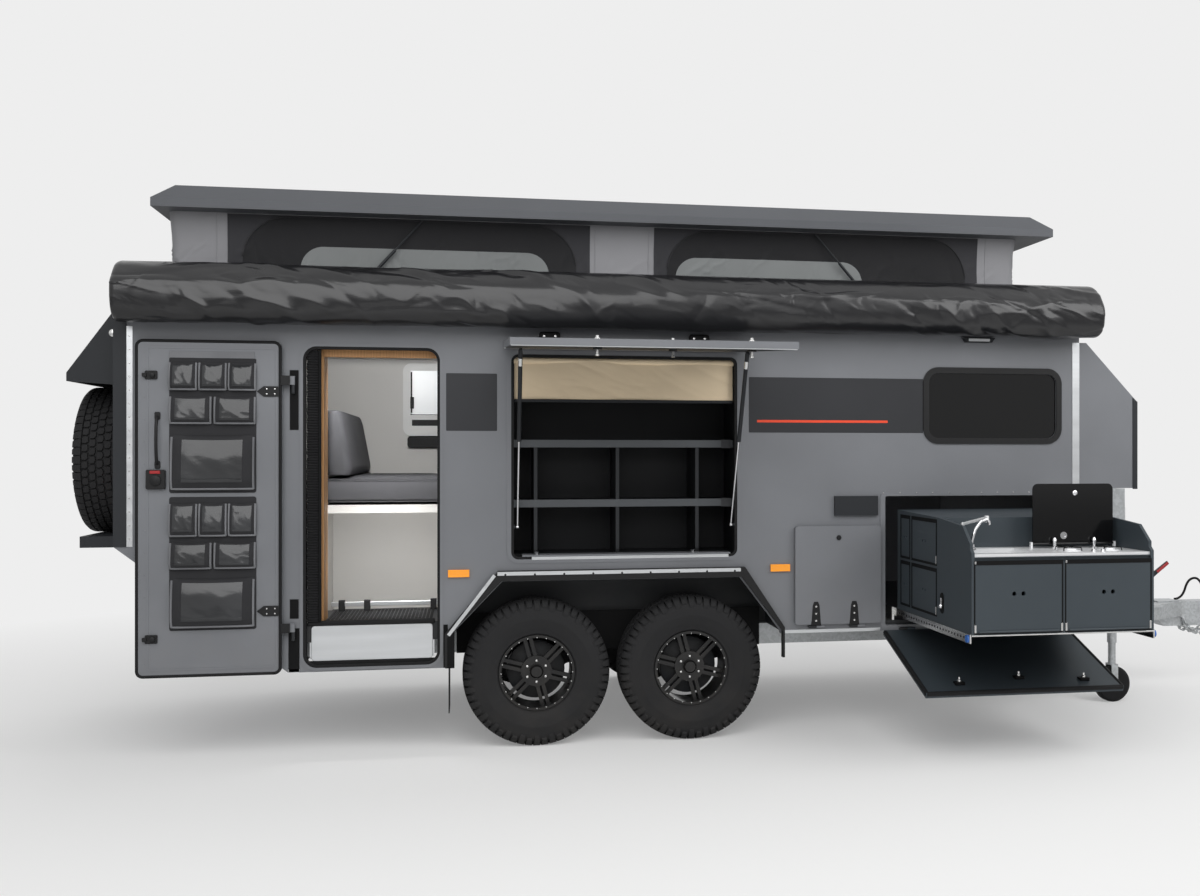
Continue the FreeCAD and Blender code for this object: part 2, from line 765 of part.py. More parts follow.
def make_chassis():
    """Make the rails, cross members, A-frame, coupling and jockey tube."""
    rails = []
    z = (S.rail_low, S.floor_low)
    for side in (-1, 1):
        y0 = rail_half * side - S.rail_width / 2
        ends = (S.ramp_foot + S.ramp_thick + 5, S.body_front - 60)
        rails.append(box("rail", ends, (y0, y0 + S.rail_width), z))
    cross = []
    inner = rail_half - S.rail_width / 2
    for x in (-1600, -1000, 0, 1000, 1800, 2600):
        cross.append(box("cross member", (x, x + 50), (-inner, inner), (S.rail_low + 20, S.floor_low)))
    arm = prism("drawbar arm", "xy", [
        (arm_rear, -arm_side), (arm_rear, -arm_side + S.rail_width),
        (S.drawbar_join, -15), (S.drawbar_join + 120, -15), (S.drawbar_join + 120, -S.arm_tip),
    ], S.drawbar_high - S.arm_deep, S.drawbar_high)
    tip = S.coupling_front - 240
    spine = prism("drawbar nose", "xz", [
        (S.drawbar_join - 60, S.drawbar_high - S.arm_deep), (S.drawbar_join, S.drawbar_low),
        (tip - 70, S.drawbar_low), (tip, S.drawbar_low + 60), (tip, S.drawbar_high),
        (S.drawbar_join - 60, S.drawbar_high)], -60, 60)
    deck = prism("drawbar deck", "xy", [
        (S.drawbar_join - 60, -90), (S.drawbar_join + 110, -66), (S.drawbar_join + 110, 66),
        (S.drawbar_join - 60, 90)], S.drawbar_high, S.drawbar_high + 8)
    tray = box("bottle tray", (locker_front + 20, bottle_x + S.bottle_radius + 20), (-tray_half, tray_half),
               (S.drawbar_high, S.drawbar_high + 10))
    brackets = []
    for x in (-S.axle_half_spacing, S.axle_half_spacing):
        for side in (-1, 1):
            y = rail_half * side
            brackets.append(box("arm bracket", (x + 240, x + 340), (y - 30, y + 30), (S.rail_low - 8, S.rail_low)))
    bearers = [box("locker bearer", (x, x + 50), (-half, half), (S.drawbar_high, S.locker_low))
               for x, half in ((S.body_front + 20, 700), (locker_front - 100, 530))]
    lever_x = S.drawbar_join - S.lever_behind
    seat = box("lever seat", (lever_x - 10, lever_x + 150), (-240, 240), (S.drawbar_high - 14, S.drawbar_high))
    node(fuse("chassis", rails + cross + brackets + [
        arm, mirrored("drawbar arm left", arm), spine, deck, tray, seat] + bearers))
    mid = (S.drawbar_low + S.drawbar_high) / 2
    flange = box("coupling flange", (tip, tip + 14), (-58, 58), (mid - 55, mid + 55))
    neck = turned("coupling neck", [(0, 0), (38, 0), (34, 60), (34, 130), (0, 130)], "x", tip + 14, 0, mid)
    eye = turned("coupling eye", [(0, -30), (44, -30), (48, -24), (48, 24), (44, 30), (0, 30)], "z",
                 S.coupling_front - 60, 0, mid)
    bore = rod("coupling bore", "z", (S.coupling_front - 60, 0, mid - 60), S.coupling_bore, 120)
    node(cut("coupling_head", fuse("coupling whole", [flange, neck, eye]), [bore]))
    outer = box("locker", (S.body_front, locker_front), (-S.locker_half, S.locker_half),
                (S.locker_low, S.nose_low - 12))
    hollow = box("locker hollow", (S.body_front + 20, locker_front - 20), (-S.locker_half + 20, S.locker_half - 20),
                 (S.locker_low + 20, S.nose_low - 32))
    lip = box("locker lip", (S.body_front, locker_front - 60), (-S.locker_half, S.locker_half),
              (S.nose_low - 12, S.nose_low))
    node(fuse("front_locker", [cut("locker shell", outer, [hollow]), lip]))
    bottles = []
    r, up = S.bottle_radius, S.bottle_up
    for side in (-1, 1):
        bottles.append(turned("bottle", [
            (0, 0), (r - 12, 0), (r, 30), (r, up - 150), (r - 22, up - 92), (r - 66, up - 50),
            (r - 66, up + 60), (r - 72, up + 60), (r - 72, up - 26), (22, up - 26), (22, up + 20), (0, up + 20)],
            "z", bottle_x, side * S.bottle_half, S.drawbar_high + 10))
    node(group("gas_bottles", bottles))
    x, y = jockey_x, -jockey_y
    pipe = rod("jockey pipe", "z", (x, y, 380), S.jockey_tube, 420)
    node(cut("jockey_tube", pipe, [rod("jockey pipe bore", "z", (x, y, 370), 24.3, 440)]))
    foot = S.drawbar_high + 10
    at = lever_x
    blade = prism("lever blade", "xz", [
        (at, foot), (at + 60, foot), (at + 76, foot + 40), (at + 250, foot + 186), (at + 330, foot + 248),
        (at + 316, foot + 266), (at + 230, foot + 204), (at + 20, foot + 52)], -6, 6)
    base = box("lever base", (at - 8, at + 120), (-30, 30), (S.drawbar_high, foot))
    node(fuse("handbrake_lever", [blade, base]))


def chain_link(wire, length, width):
    """Return one link, a flat ring with cut corners, lying along X."""
    def loop(a, b):
        """Return an octagon of half length a and half width b."""
        k = b * 0.55
        pts = [(a, -b + k), (a, b - k), (a - k, b), (-a + k, b),
               (-a, b - k), (-a, -b + k), (-a + k, -b), (a - k, -b)]
        pts = [V(x, y, -wire / 2) for x, y in pts]
        return Part.Face(Part.makePolygon(pts + pts[:1]))
    outer = loop(length / 2, width / 2).extrude(V(0, 0, wire))
    inner = loop(length / 2 - wire, width / 2 - wire).extrude(V(0, 0, wire))
    return outer.cut(inner)


def make_chains():
    """Make the two safety chains that hang from the drawbar to the coupling."""
    wire, length, width = S.chain_wire.value, S.chain_link.value, S.chain_width.value
    pitch = length - wire * 2 - 1.6
    links = []
    for side in (-1, 1):
        start = V(S.drawbar_join.value + 130, side * (60.3 + width / 2), S.drawbar_low.value + 54)
        count = 11
        at = V(start)
        for i in range(count):
            lean = math.radians(-62 + i * 124.0 / (count - 1))
            step = V(math.cos(lean), 0, math.sin(lean)) * pitch
            link = chain_link(wire, length, width)
            if i % 2:
                link.rotate(V(), V(1, 0, 0), 90)
            link.rotate(V(), V(0, 1, 0), -math.degrees(lean))
            link.translate(at + step * 0.5)
            links.append(link)
            at = at + step
    node(solid_feature("safety_chains", Part.Compound(links)))


def make_cable():
    """Make the electric lead that loops over the drawbar, with its plug."""
    low = S.drawbar_high.value + 8.3
    run = [V(4030, 30, low), V(4090, 30, low), V(4130, 20, 730), V(4210, -20, 730), V(4236, -30, low)]
    node(cord("tow_cable", run, 8.0))


def cord(label, points, radius):
    """Return a round cord of straight runs joined by tangent arcs."""
    edges = []
    last = points[0]
    for i in range(1, len(points) - 1):
        a, b, c = points[i - 1], points[i], points[i + 1]
        u = (a - b).normalize()
        w = (c - b).normalize()
        half_turn = (math.pi - u.getAngle(w)) / 2
        bend = 0.45 * min((a - b).Length, (c - b).Length) / math.tan(half_turn)
        back = bend * math.tan(half_turn)
        p, q = b + u * back, b + w * back
        centre = b + (u + w).normalize() * (bend / math.cos(half_turn))
        mid = centre + (b - centre).normalize() * bend
        edges.append(Part.makeLine(last, p))
        edges.append(Part.Arc(p, mid, q).toShape())
        last = q
    edges.append(Part.makeLine(last, points[-1]))
    path = Part.Wire(edges)
    section = Part.Wire(Part.makeCircle(radius, points[0], points[1] - points[0]))
    return solid_feature(label, path.makePipeShell([section], True, False))


def make_suspension():
    """Make the stub axles, trailing arms, air springs and dampers."""
    arms = []
    springs = []
    dampers = []
    for x in (-S.axle_half_spacing, S.axle_half_spacing):
        for side in (-1, 1):
            y_in = side * rail_half - 22
            arm = (prism("trailing arm", "xz", [
                (x - 40, 360), (x + 40, 360), (x + 330, 440), (x + 330, S.rail_low - 8),
                (x + 250, S.rail_low - 8), (x - 40, 440),
            ], y_in, y_in + 44))
            stub = rod("stub axle", "y", (x, -half_track - 52 if side < 0 else rail_half, S.tyre_radius),
                       S.axle_radius, half_track + 52 - rail_half)
            arms.append(fuse("arm and stub", [arm, stub]))
            springs.append(rod("air spring", "z", (x + 60, side * (rail_half - 100), 480), 50, 120))
            dampers.append(rod("damper", "z", (x - 130, side * (rail_half - 60), 400), 22, 200))
    node(group("trailing_arms", arms))
    node(group("spring_units", springs + dampers))


WHEELS = (("rear_right", -1, -1), ("front_right", 1, -1), ("rear_left", -1, 1), ("front_left", 1, 1))


def flat_ring(apothem, along, count):
    """Return the corners of a regular polygon about the Z axis, a flat side's middle on each multiple."""
    reach = apothem / math.cos(math.pi / count)
    turns = [(i + 0.5) * math.tau / count for i in range(count)]
    return [V(reach * math.cos(a), reach * math.sin(a), along) for a in turns]


def tyre_shape():
    """Return a tyre about the Z axis: flat-sided rings joined face to face, with a lug on each flat."""
    r, half, rim = S.tyre_radius.value, S.tyre_width.value / 2, S.rim_radius.value
    count = int(S.lug_count.value)
    tread, shoulder, bead = r - S.lug_deep.value, r - S.shoulder_deep.value, half - S.bead_in.value
    edge = half - S.shoulder_in.value
    section = [(rim, -bead), (shoulder, -half), (tread, -edge), (tread, edge), (shoulder, half), (rim, bead)]
    rings = [flat_ring(apothem, along, count) for apothem, along in section]
    faces = []
    for one, other in zip(rings, rings[1:] + rings[:1]):
        for i in range(count):
            k = (i + 1) % count
            faces.append(Part.Face(Part.makePolygon([one[i], one[k], other[k], other[i], one[i]])))
    carcass = Part.Solid(Part.Shell(faces))
    if carcass.Volume < 0:
        carcass.reverse()
    lugs = []
    long = S.lug_long.value
    for i in range(count):
        lug = Part.makeBox(r - shoulder, long, half * 2 - S.shoulder_in.value, V(
            shoulder, -long / 2, S.shoulder_in.value / 2 - half))
        lug.rotate(V(), V(0, 0, 1), i * 360.0 / count)
        lugs.append(lug)
    return carcass.fuse(lugs)


def rim_profile():
    """Return the section of a rim's barrel."""
    rim, half = S.rim_radius - S.seat_gap, S.tyre_width / 2 - 20
    return [(rim - 14, -half), (rim, -half), (rim, half), (rim - 14, half)]


def wheel(name, x, y, z, axis, face):
    """Return a tyre and a rim with six twin spokes; face is the side its disc shows."""
    tyre = place(solid_feature("tyre_" + name, tyre_shape()), x, y, z, AXES[axis])
    barrel = turned("barrel " + name, rim_profile(), axis, x, y, z)
    disc_low = 30 * face
    hub = turned("hub " + name, [
        (S.axle_radius + S.seat_gap, disc_low - 20), (S.hub_radius + 22, disc_low - 20),
        (S.hub_radius + 22, disc_low + 20), (S.axle_radius + S.seat_gap, disc_low + 20)], axis, x, y, z)
    spokes = []
    reach = S.rim_radius.value - 8
    start = S.hub_radius.value + 14
    for i in range(6):
        for offset in (-16, 16):
            bar = Part.makeBox(reach - start, 20, 24, V(start, offset - 10, disc_low - 12))
            bar.rotate(V(), V(0, 0, 1), i * 60 + 15)
            spokes.append(bar)
    fan = solid_feature("spokes " + name, Part.Compound(spokes))
    place(fan, x, y, z, AXES[axis])
    rim = fuse("rim_" + name, [barrel, hub, fan])
    return tyre, rim


def make_wheels():
    """Make the four road wheels and the two spares."""
    for name, along, side in WHEELS:
        tyre, rim = wheel(name, S.axle_half_spacing * along, half_track * side, S.tyre_radius, "y", side)
        node(tyre)
        node(rim)
    tyres = []
    rims = []
    for side in (-1, 1):
        x = -S.spare_face + S.tyre_width / 2
        tyre, rim = wheel("spare %d" % side, x, S.spare_half * side, S.spare_up, "x", -1)
        tyres.append(tyre)
        rims.append(rim)
    node(group("spare_tyres", tyres))
    node(group("spare_rims", rims))
    carriers = []
    for side in (-1, 1):
        carriers.append(rod("spare hub", "x", (70 - S.spare_face, S.spare_half * side, S.spare_up), S.axle_radius,
                            S.body_rear + S.spare_face - 70))
    bar = box("rear bar", (60 - S.spare_face, S.body_rear), (-S.hood_half, S.hood_half),
              (S.ramp_top - 16, S.spare_up - S.tyre_radius - 1))
    node(group("spare_carrier", carriers + [bar]))


def make_rear_hood():
    """Make the sloping rain hood above the spare wheels, with its cheeks."""
    t = 12
    wall = S.body_rear
    out = wall - S.hood_out
    outer = [(wall, S.hood_top), (wall - 55, S.hood_top), (out, S.hood_lip + 44), (out, S.hood_lip),
             (wall, S.hood_lip - 20)]
    inner = [(wall + 5, S.hood_top - t), (wall - 55 + t * 0.3, S.hood_top - t), (out + t, S.hood_lip + 44 - t * 0.4),
             (out + t, S.hood_lip - 40), (wall + 5, S.hood_lip - 40)]
    whole = prism("hood whole", "xz", outer, -S.hood_half, S.hood_half)
    hollow = prism("hood hollow", "xz", inner, -S.hood_half + t, S.hood_half - t)
    node(cut("rear_hood", whole, [hollow]))


def make_cabin():
    """Make the fitted pieces that show through the door and hatch."""
    floor_top = S.floor_low + S.floor_thick
    t = S.cabin_board
    deep = -S.entry_deep
    x0, x1 = S.seat_rear, box_rear - S.seat_gap
    shelf_low = S.seat_top - S.seat_edge
    end = box("seat end board", (x1 - t, x1), (deep, left_in), (floor_top, shelf_low))
    lid = box("seat board", (x0, x1), (deep - t, left_in), (shelf_low, S.seat_top + 12))
    back = box("seat rear board", (x0, x0 + t), (deep, left_in), (floor_top, shelf_low))
    far = box("seat far board", (x0 + t, x1 - t), (S.bench_space - S.entry_deep, left_in), (floor_top, shelf_low))
    screen = box("entry side board", (x0, x0 + 45), (right_in, deep - t), (S.entry_top, S.body_top - S.wall_thick))
    locker = box("overhead locker", (rear_in, front_in), (S.body_half - 380, left_in),
                 (S.side_window_high + 30, S.body_top - S.wall_thick))
    node(group("cabin_panels", [fuse("seat box", [end, lid, back, far, screen]), locker]))
    y0, y1 = deep, left_in - 12
    z0 = S.seat_top + 12 + S.seat_gap
    cushion = prism("cushion", "yz", rectangle(y0, y1, z0, z0 + S.cushion_thick), x0 + 8, x1, 30, [0, 2, 3])
    z1 = z0 + S.cushion_thick + S.seat_gap
    rest = prism("backrest", "xz", [
        (x0 + 8, z1), (x0 + 8 + S.back_foot, z1), (x0 + 8 + S.back_head, S.back_high), (x0 + 8, S.back_high)],
        y0, y1, 28, [2, 3])
    node(group("seat_cushions", [cushion, rest]))
    y0 = right_in + S.cabinet_set_back
    y1 = y0 + S.cabinet_deep
    c0, c1 = S.hatch_rear - 20, S.hatch_front + 20
    cabinet = box("cabinet plain", (c0, c1), (y0, y1), (S.box_top, S.hatch_high + 30))
    edges = [c0 + 18, Size(-432, "-432"), Size(20, "20"), Size(470, "470"), c1 - 18]
    shelves = [S.hatch_low + 10, Size(1330, "1330"), Size(1655, "1655"), S.hatch_high + 10]
    bays = []
    half = S.shelf_thick / 2
    for row, (z0, z1) in enumerate(zip(shelves[:-1], shelves[1:])):
        columns = list(zip(edges[:-1], edges[1:])) if row < 2 else [(edges[0], edges[-1])]
        for a, b in columns:
            a = a + 10 if a is not edges[0] else a
            b = b - 10 if b is not edges[-1] else b
            bays.append(box("bay", (a, b), (y0 - 5, y1 - 12), (z0 + half, z1 - half)))
    node(cut("storage_cabinet", cabinet, bays))
    start = S.hatch_rear + S.seal_width + S.seat_gap
    end = S.hatch_front - S.seal_width - S.seat_gap
    roll = rod("blind roller", "x", (start - 8, right_in + 20 + S.seat_gap, S.hatch_high - 30), 20, end - start + 16)
    drop = box("blind drop", (start + 10, end - 10), (right_in + 3, right_in + 9), (1885, S.hatch_high - 30))
    node(fuse("blind_roll", [roll, drop]))


def make_door():
    """Make the entry door, swung right round against the wall, with its pockets."""
    low = S.door_low - S.door_lap
    high = S.door_high + S.door_lap
    free = S.door_hinge * 2 - S.door_front - S.door_lap
    near = S.door_hinge * 2 - S.door_rear + S.door_lap - 30
    inner = right_out - S.hinge_out * 2 + S.leaf_gap
    outer = inner + S.door_thick
    board = prism("door board", "xz", rectangle(free, near, low, high), inner, outer, S.leaf_corner)
    fixed = []
    moving = [board]
    for z in (S.door_low + 150, S.door_high - 250):
        one, other = hinge("z", z, right_out - S.hinge_out, S.door_hinge)
        leaf = box("door leaf", (near - 10, S.door_hinge), (inner + 10, inner + 18),
                   (z + S.knuckle_length + S.seat_gap, z + S.knuckle_length * 2))
        fixed.append(one)
        moving += [other, leaf]
    node(fuse("door_panel", moving))
    node(group("door_pockets", [
        box("upper pockets", (-2320, -1890), (inner - 50, inner), (1430, 2080)),
        box("lower pockets", (-2320, -1890), (inner - 50, inner), (730, 1400)),
    ]))
    node(group("door_latches", [
        box("latch", (-2420, -2370), (inner - 20, inner), (1080, 1180)),
    ]))
    return fixed


def strut_points(open_angle):
    """Return where a gas strut meets the hatch, raised by an angle, and the jamb."""
    a = math.radians(open_angle)
    down = S.strut_down.value
    out = S.hatch_thick.value / 2 + 14
    hinge_y = right_out.value - S.hinge_out.value
    top = V(0, hinge_y - down * math.sin(a) + out * math.cos(a),
            S.hatch_hinge_up.value - down * math.cos(a) - out * math.sin(a))
    foot = V(0, right_out.value + 12, S.hatch_hinge_up.value - S.strut_foot_down.value)
    return top, foot


def make_hatch():
    """Make the serving hatch, raised on its top hinge, and its gas struts."""
    a = S.hatch_open
    hinge_y = right_out - S.hinge_out
    hinge_z = S.hatch_hinge_up
    length = S.hatch_high - S.hatch_low + S.hatch_lap * 2 - 20
    c, s = cosine(a), sine(a)

    def at(down, out):
        """Return the point this far down the panel and this far out of it, when raised."""
        return (hinge_y - down * s - out * c, hinge_z - down * c + out * s)
    t = S.hatch_thick / 2
    board = prism("hatch board", "yz", [at(14, -t), at(length, -t), at(length, t), at(14, t)],
                  S.hatch_rear - S.hatch_lap, S.hatch_front + S.hatch_lap)
    fixed = []
    moving = [board]
    for x in (S.hatch_rear + 150, S.hatch_front - 240):
        one, other = hinge("x", x, hinge_y, hinge_z)
        arm = prism("hatch arm", "yz", [at(0, -6), at(30, -6), at(30, 6), at(0, 6)],
                    x + S.knuckle_length + S.seat_gap, x + S.knuckle_length * 2 + S.seat_gap)
        fixed.append(one)
        moving += [other, arm]
    tubes = []
    rods = []
    top, foot = strut_points(S.hatch_open.value)
    way = (top - foot).normalize()
    tube_length = (top - foot).Length * 0.5
    shut = strut_points(0.0)
    strut_stroke = (top - foot).Length - (shut[0] - shut[1]).Length
    for x in (S.hatch_rear + 34, S.hatch_front - 34):
        here = V(x.value, 0, 0)
        outward = V(-1 if x.value < 0 else 1, 0, 0)
        tube = Part.makeCylinder(S.strut_radius.value, tube_length, top + here, way * -1)
        bore = Part.makeCylinder(S.strut_rod.value + 0.3, tube_length, top + here - way * 40, way * -1)
        pin_hole = Part.makeCylinder(4.3, 40, top + here - V(20, 0, 0), V(1, 0, 0))
        eye = Part.makeCylinder(9, 16, top + here - V(8, 0, 0), V(1, 0, 0))
        tubes.append(tube.fuse(eye).cut(bore).cut(pin_hole))
        eye = Part.makeCylinder(9, 12, foot + here - V(6, 0, 0), V(1, 0, 0))
        foot_hole = Part.makeCylinder(4.3, 40, foot + here - V(20, 0, 0), V(1, 0, 0))
        rod_length = (top - foot).Length - strut_stroke - 46
        rods.append(Part.makeCylinder(S.strut_rod.value, rod_length, foot + here, way).fuse(eye).cut(foot_hole))
        ear = Part.makeBox(5, 30, 44, top + here + outward * 14 - V(2.5, 15, 12))
        pin = Part.makeCylinder(4, 26, top + here + outward * 14, outward * -1)
        moving.append(solid_feature("strut ear", ear.fuse(pin)))
        jamb = S.hatch_rear.value + S.seal_width.value if x.value < 0 else S.hatch_front.value - S.seal_width.value
        span = abs(jamb - x.value) + 8
        foot_pin = Part.makeCylinder(4, span, V(jamb, foot.y, foot.z), outward * -1)
        foot_ear = Part.makeCylinder(12, 6, V(jamb, foot.y, foot.z), outward * -1)
        fixed.append(solid_feature("strut foot", foot_pin.fuse(foot_ear)))
    node(fuse("hatch_panel", moving))
    node(solid_feature("strut_tubes", Part.Compound(tubes)))
    node(solid_feature("strut_rods", Part.Compound(rods)))
    return fixed


def make_kitchen():
    """Make the slide-out kitchen, drawn out, and the drop panel under it."""
    face = unit_face
    back = unit_back
    b = S.panel_board
    x0, x1 = S.unit_rear, S.unit_front
    low = S.unit_low
    tall_y = face + S.bench_depth
    mid = (x0 + x1) / 2
    rise = S.tall_rise
    wing_line = [
        (tall_y, tall_top), (face + 120, S.bench_top + rise * 0.85), (face + 22, S.bench_top + rise * 0.38),
        (face + 22, S.bench_top + rise * 0.23), (face, S.bench_top + rise * 0.12)]
    profile = [(face, low), (back, low), (back, tall_top + 14)] + wing_line
    body = prism("carcass plain", "yz", profile, x0, x1)
    bays = [prism("bench space", "yz", [
        (face - 5, S.bench_top), (tall_y - b, S.bench_top), (tall_y - b, tall_top + 40),
        (face - 5, tall_top + 40)],
        x0 + b, x1 - b)]
    door_low, door_high = low + b, S.bench_top - 2 * b
    for a0, a1 in ((x0 + b, mid - b / 2), (mid + b / 2, x1 - b)):
        bays.append(box("front bay", (a0, a1), (face - 5, tall_y - 2 * b), (door_low, door_high)))
    bays.append(box("top recess", (x0 + b, x1 - b), (face - 5, face + 12), (door_high + 4, S.bench_top - 4)))
    cell = S.side_door_gap
    columns = ((tall_y + 22, tall_y + 22 + S.side_door_wide), (tall_y + 56 + S.side_door_wide, back - 60))
    rows = ((low + 46, low + 46 + S.side_door_high), (low + 80 + S.side_door_high, tall_top - 24))
    for y0, y1 in columns:
        for z0, z1 in rows:
            groove = ring("side door line", "yz", (y0 + cell, y1 - cell), (z0 + cell, z1 - cell), cell,
                          x0 - 5, x0 + 6, 4)
            bays.append(groove)
            for dy in (-18, 18):
                bays.append(rod("finger hole", "x", (x0 - 5, (y0 + y1) / 2 + dy, (z0 + z1) / 2), 8, 20))
    bowl = (x0 + 46, x0 + 46 + S.bowl_long, face + 76, face + 76 + S.bowl_wide)
    bays.append(box("bowl hole", (bowl[0] - 1, bowl[1] + 1), (bowl[2] - 1, bowl[3] + 1), (door_high - 5, S.bench_top + 5)))
    node(cut("kitchen_unit", body, bays))
    for name, a0, a1 in (("rear", x0 + b + 2, mid - b / 2 - 2), ("front", mid + b / 2 + 2, x1 - b - 2)):
        z0 = door_low + S.seat_gap
        board = box("flap board", (a0, a1), (face, face + b), (z0, door_high - 6))
        centre = (a0 + a1) / 2
        holes = [rod("finger hole", "y", (centre + dx, face - 5, z0 + 190), 11, b + 10) for dx in (-24, 24)]
        barrel = rod("flap barrel", "x", (a0 + 20, face - 3, z0 + 5), 5, a1 - a0 - 40)
        node(fuse("kitchen_door_" + name, [cut("flap cut", board, holes), barrel]))
    top = S.bench_top + 14
    plate = box("bench plate", (x0 + b, x1 - b), (face + 10, tall_y - b), (S.bench_top, top))
    hollow = box("bowl hollow", (bowl[0] + 3, bowl[1] - 3), (bowl[2] + 3, bowl[3] - 3), (top - S.bowl_deep, top + 5))
    basin = box("bowl shell", (bowl[0], bowl[1]), (bowl[2], bowl[3]), (top - S.bowl_deep - 3, S.bench_top + 1))
    lid_y, lid_z = face + S.lid_back, top + S.lid_up
    posts = []
    for x in (S.lid_rear - 14, S.lid_rear + S.lid_wide + 3):
        post = box("lid post", (x, x + 11), (lid_y - 9, lid_y + 9), (top - 2, lid_z + 9))
        posts.append(cut("lid post bored", post, [rod("lid post bore", "x", (x - 2, lid_y, lid_z), 5.3, 15)]))
    hob = [turned("burner", [(0, 0), (62, 0), (62, 7), (44, 7), (40, 13), (0, 13)], "z",
                  S.lid_rear + S.lid_wide * f, face + 150, top - 1) for f in (0.27, 0.73)]
    tap = tap_shape(V(x0.value + 100, face.value + 415, top.value))
    body = cut("sink plate", fuse("sink whole", [plate, basin]), [hollow])
    node(fuse("kitchen_sink_top", [body, tap] + posts + hob))
    lid = prism("lid plate", "xz", rectangle(S.lid_rear, S.lid_rear + S.lid_wide, lid_z, lid_z + S.lid_high),
                lid_y - 4, lid_y + 4, 30, [2, 3])
    node(fuse("stove_lid", [lid, rod("lid pin", "x", (S.lid_rear - 13, lid_y, lid_z), 5, S.lid_wide + 26)]))
    runner_moving = []
    runner_fixed = []
    for x, away in ((x0 - 8, x0 - 20.5), (x1, x1 + 8.5)):
        runner_moving.append(box("runner", (x, x + 8), (face + 4, back + 155), (low - 34, low + 10)))
        runner_fixed.append(box("runner channel", (away, away + 12), (right_in, 0),
                                (S.floor_low + S.floor_thick, low + 14)))
    node(group("kitchen_runners", runner_moving))
    node(group("runner_channels", runner_fixed))
    hy = right_out - S.hinge_out
    hz = S.drop_hinge_up
    c, s = cosine(S.drop_droop), sine(S.drop_droop)
    t = S.drop_thick
    n = S.drop_length
    board = prism("drop board", "yz", [
        (hy - 14 * c, hz - 14 * s), (hy - n * c, hz - n * s),
        (hy - n * c + t * s, hz - n * s - t * c), (hy - 14 * c + t * s, hz - 14 * s - t * c)],
        S.kitchen_rear - 20, S.kitchen_front + 20)
    fixed = []
    moving = [board]
    for x in (S.kitchen_rear + 80, S.kitchen_front - 180):
        one, other = hinge("x", x, hy, hz, right_out - S.surround_proud)
        arm = prism("drop arm", "yz", [
            (hy, hz - 3), (hy - 30 * c, hz - 3 - 30 * s), (hy - 30 * c + 6 * s, hz - 9 - 30 * s), (hy, hz - 9)],
            x + S.knuckle_length + S.seat_gap, x + S.knuckle_length * 2 + S.seat_gap)
        fixed.append(one)
        moving += [other, arm]
    node(fuse("drop_panel", moving))
    low, high = right_out - S.surround_proud, right_out
    kitchen_ring = ring("kitchen surround", "xz", (S.kitchen_rear, S.kitchen_front), (S.kitchen_low, S.kitchen_high),
                        S.kitchen_frame, low, high, 12)
    hatch_ring = ring("hatch surround", "xz", (S.hatch_rear, S.hatch_front), (S.hatch_low, S.hatch_high),
                      S.surround_width, low, high, S.hatch_corner)
    door_ring = ring("door surround", "xz", (S.door_rear, S.door_front), (S.door_low, S.door_high), 16, low, high,
                     S.door_corner)
    ledge_low = S.hatch_low + S.seal_width + S.seat_gap
    ledge = box("hatch ledge", (S.hatch_rear + 60, S.hatch_front - 40), (right_out - 3, right_in + S.cabinet_set_back),
                (ledge_low, ledge_low + 8))
    node(group("opening_frames", [kitchen_ring, hatch_ring, door_ring, ledge]))
    return fixed


def tap_shape(foot):
    """Return a tap: a foot, a leaning riser and a spout, from its foot point."""
    base = Part.makeCylinder(22, 14, foot)
    riser = Part.makeCylinder(10, 120, foot + V(0, 0, 10), V(0.15, -0.1, 1))
    knee = foot + V(0, 0, 10) + V(0.15, -0.1, 1).normalize() * 118
    spout = Part.makeCylinder(8, 150, knee, V(0.55, -0.75, 0.25))
    tip = knee + V(0.55, -0.75, 0.25).normalize() * 146
    nozzle = Part.makeCylinder(12, 34, tip + V(0, 0, 10), V(0, 0, -1))
    lever = Part.makeCylinder(5, 60, foot + V(0, 0, 20), V(0.9, 0.2, 0.35))
    ball = Part.makeSphere(10.4, knee)
    return solid_feature("tap", base.fuse([riser, spout, nozzle, lever, ball]))


def make_access():
    """Make the small closed hatch ahead of the wheels."""
    board = prism("access board", "xz", rectangle(S.access_rear, S.access_front, S.access_low, S.access_high),
                  right_out - S.leaf_gap - 26, right_out - S.leaf_gap, S.access_corner)
    fixed = []
    moving = [board]
    y, z = right_out - S.access_hinge_out, S.access_low - 13
    for x in (S.access_rear + 80, S.access_front - 180):
        one, other = hinge("x", x, y, z, right_out - 0)
        arm = box("access strap", (x + S.knuckle_length + S.seat_gap, x + S.knuckle_length * 2 + S.seat_gap),
                  (y - 4, y + 4), (z, z + 40))
        fixed.append(one)
        moving += [other, arm]
    node(fuse("access_hatch", moving))
    return fixed


def make_jockey():
    """Make the jockey wheel under its tube."""
    x, y = jockey_x, -jockey_y
    r = S.jockey_radius
    leg = rod("leg", "z", (x, y, r * 2 + 6), 24, 424)
    plates = [box("fork plate", (x - 22, x + 22), (y + out, y + out + 6), (r - 25, r * 2 + 6)) for out in (-42, 36)]
    bridge = box("fork bridge", (x - 22, x + 22), (y - 42, y + 42), (r * 2 + 6, r * 2 + 14))
    pin = rod("fork pin", "y", (x, y - 42, r), 13.7, 84)
    node(fuse("jockey_leg", [leg, bridge, pin] + plates))
    node(turned("jockey_wheel", [(14, -30), (r - 15, -30), (r, -20), (r, 20), (r - 15, 30), (14, 30)], "y", x, y, r))


make_walls()
make_flares()
make_seals()
make_windows()
make_roof()
make_chassis()
make_chains()
make_cable()
make_suspension()
make_wheels()
make_rear_hood()
make_cabin()
fixed_hinges = make_door() + make_hatch() + make_kitchen() + make_access()
make_trims(make_nose() + make_awning() + fixed_hinges)
make_jockey()

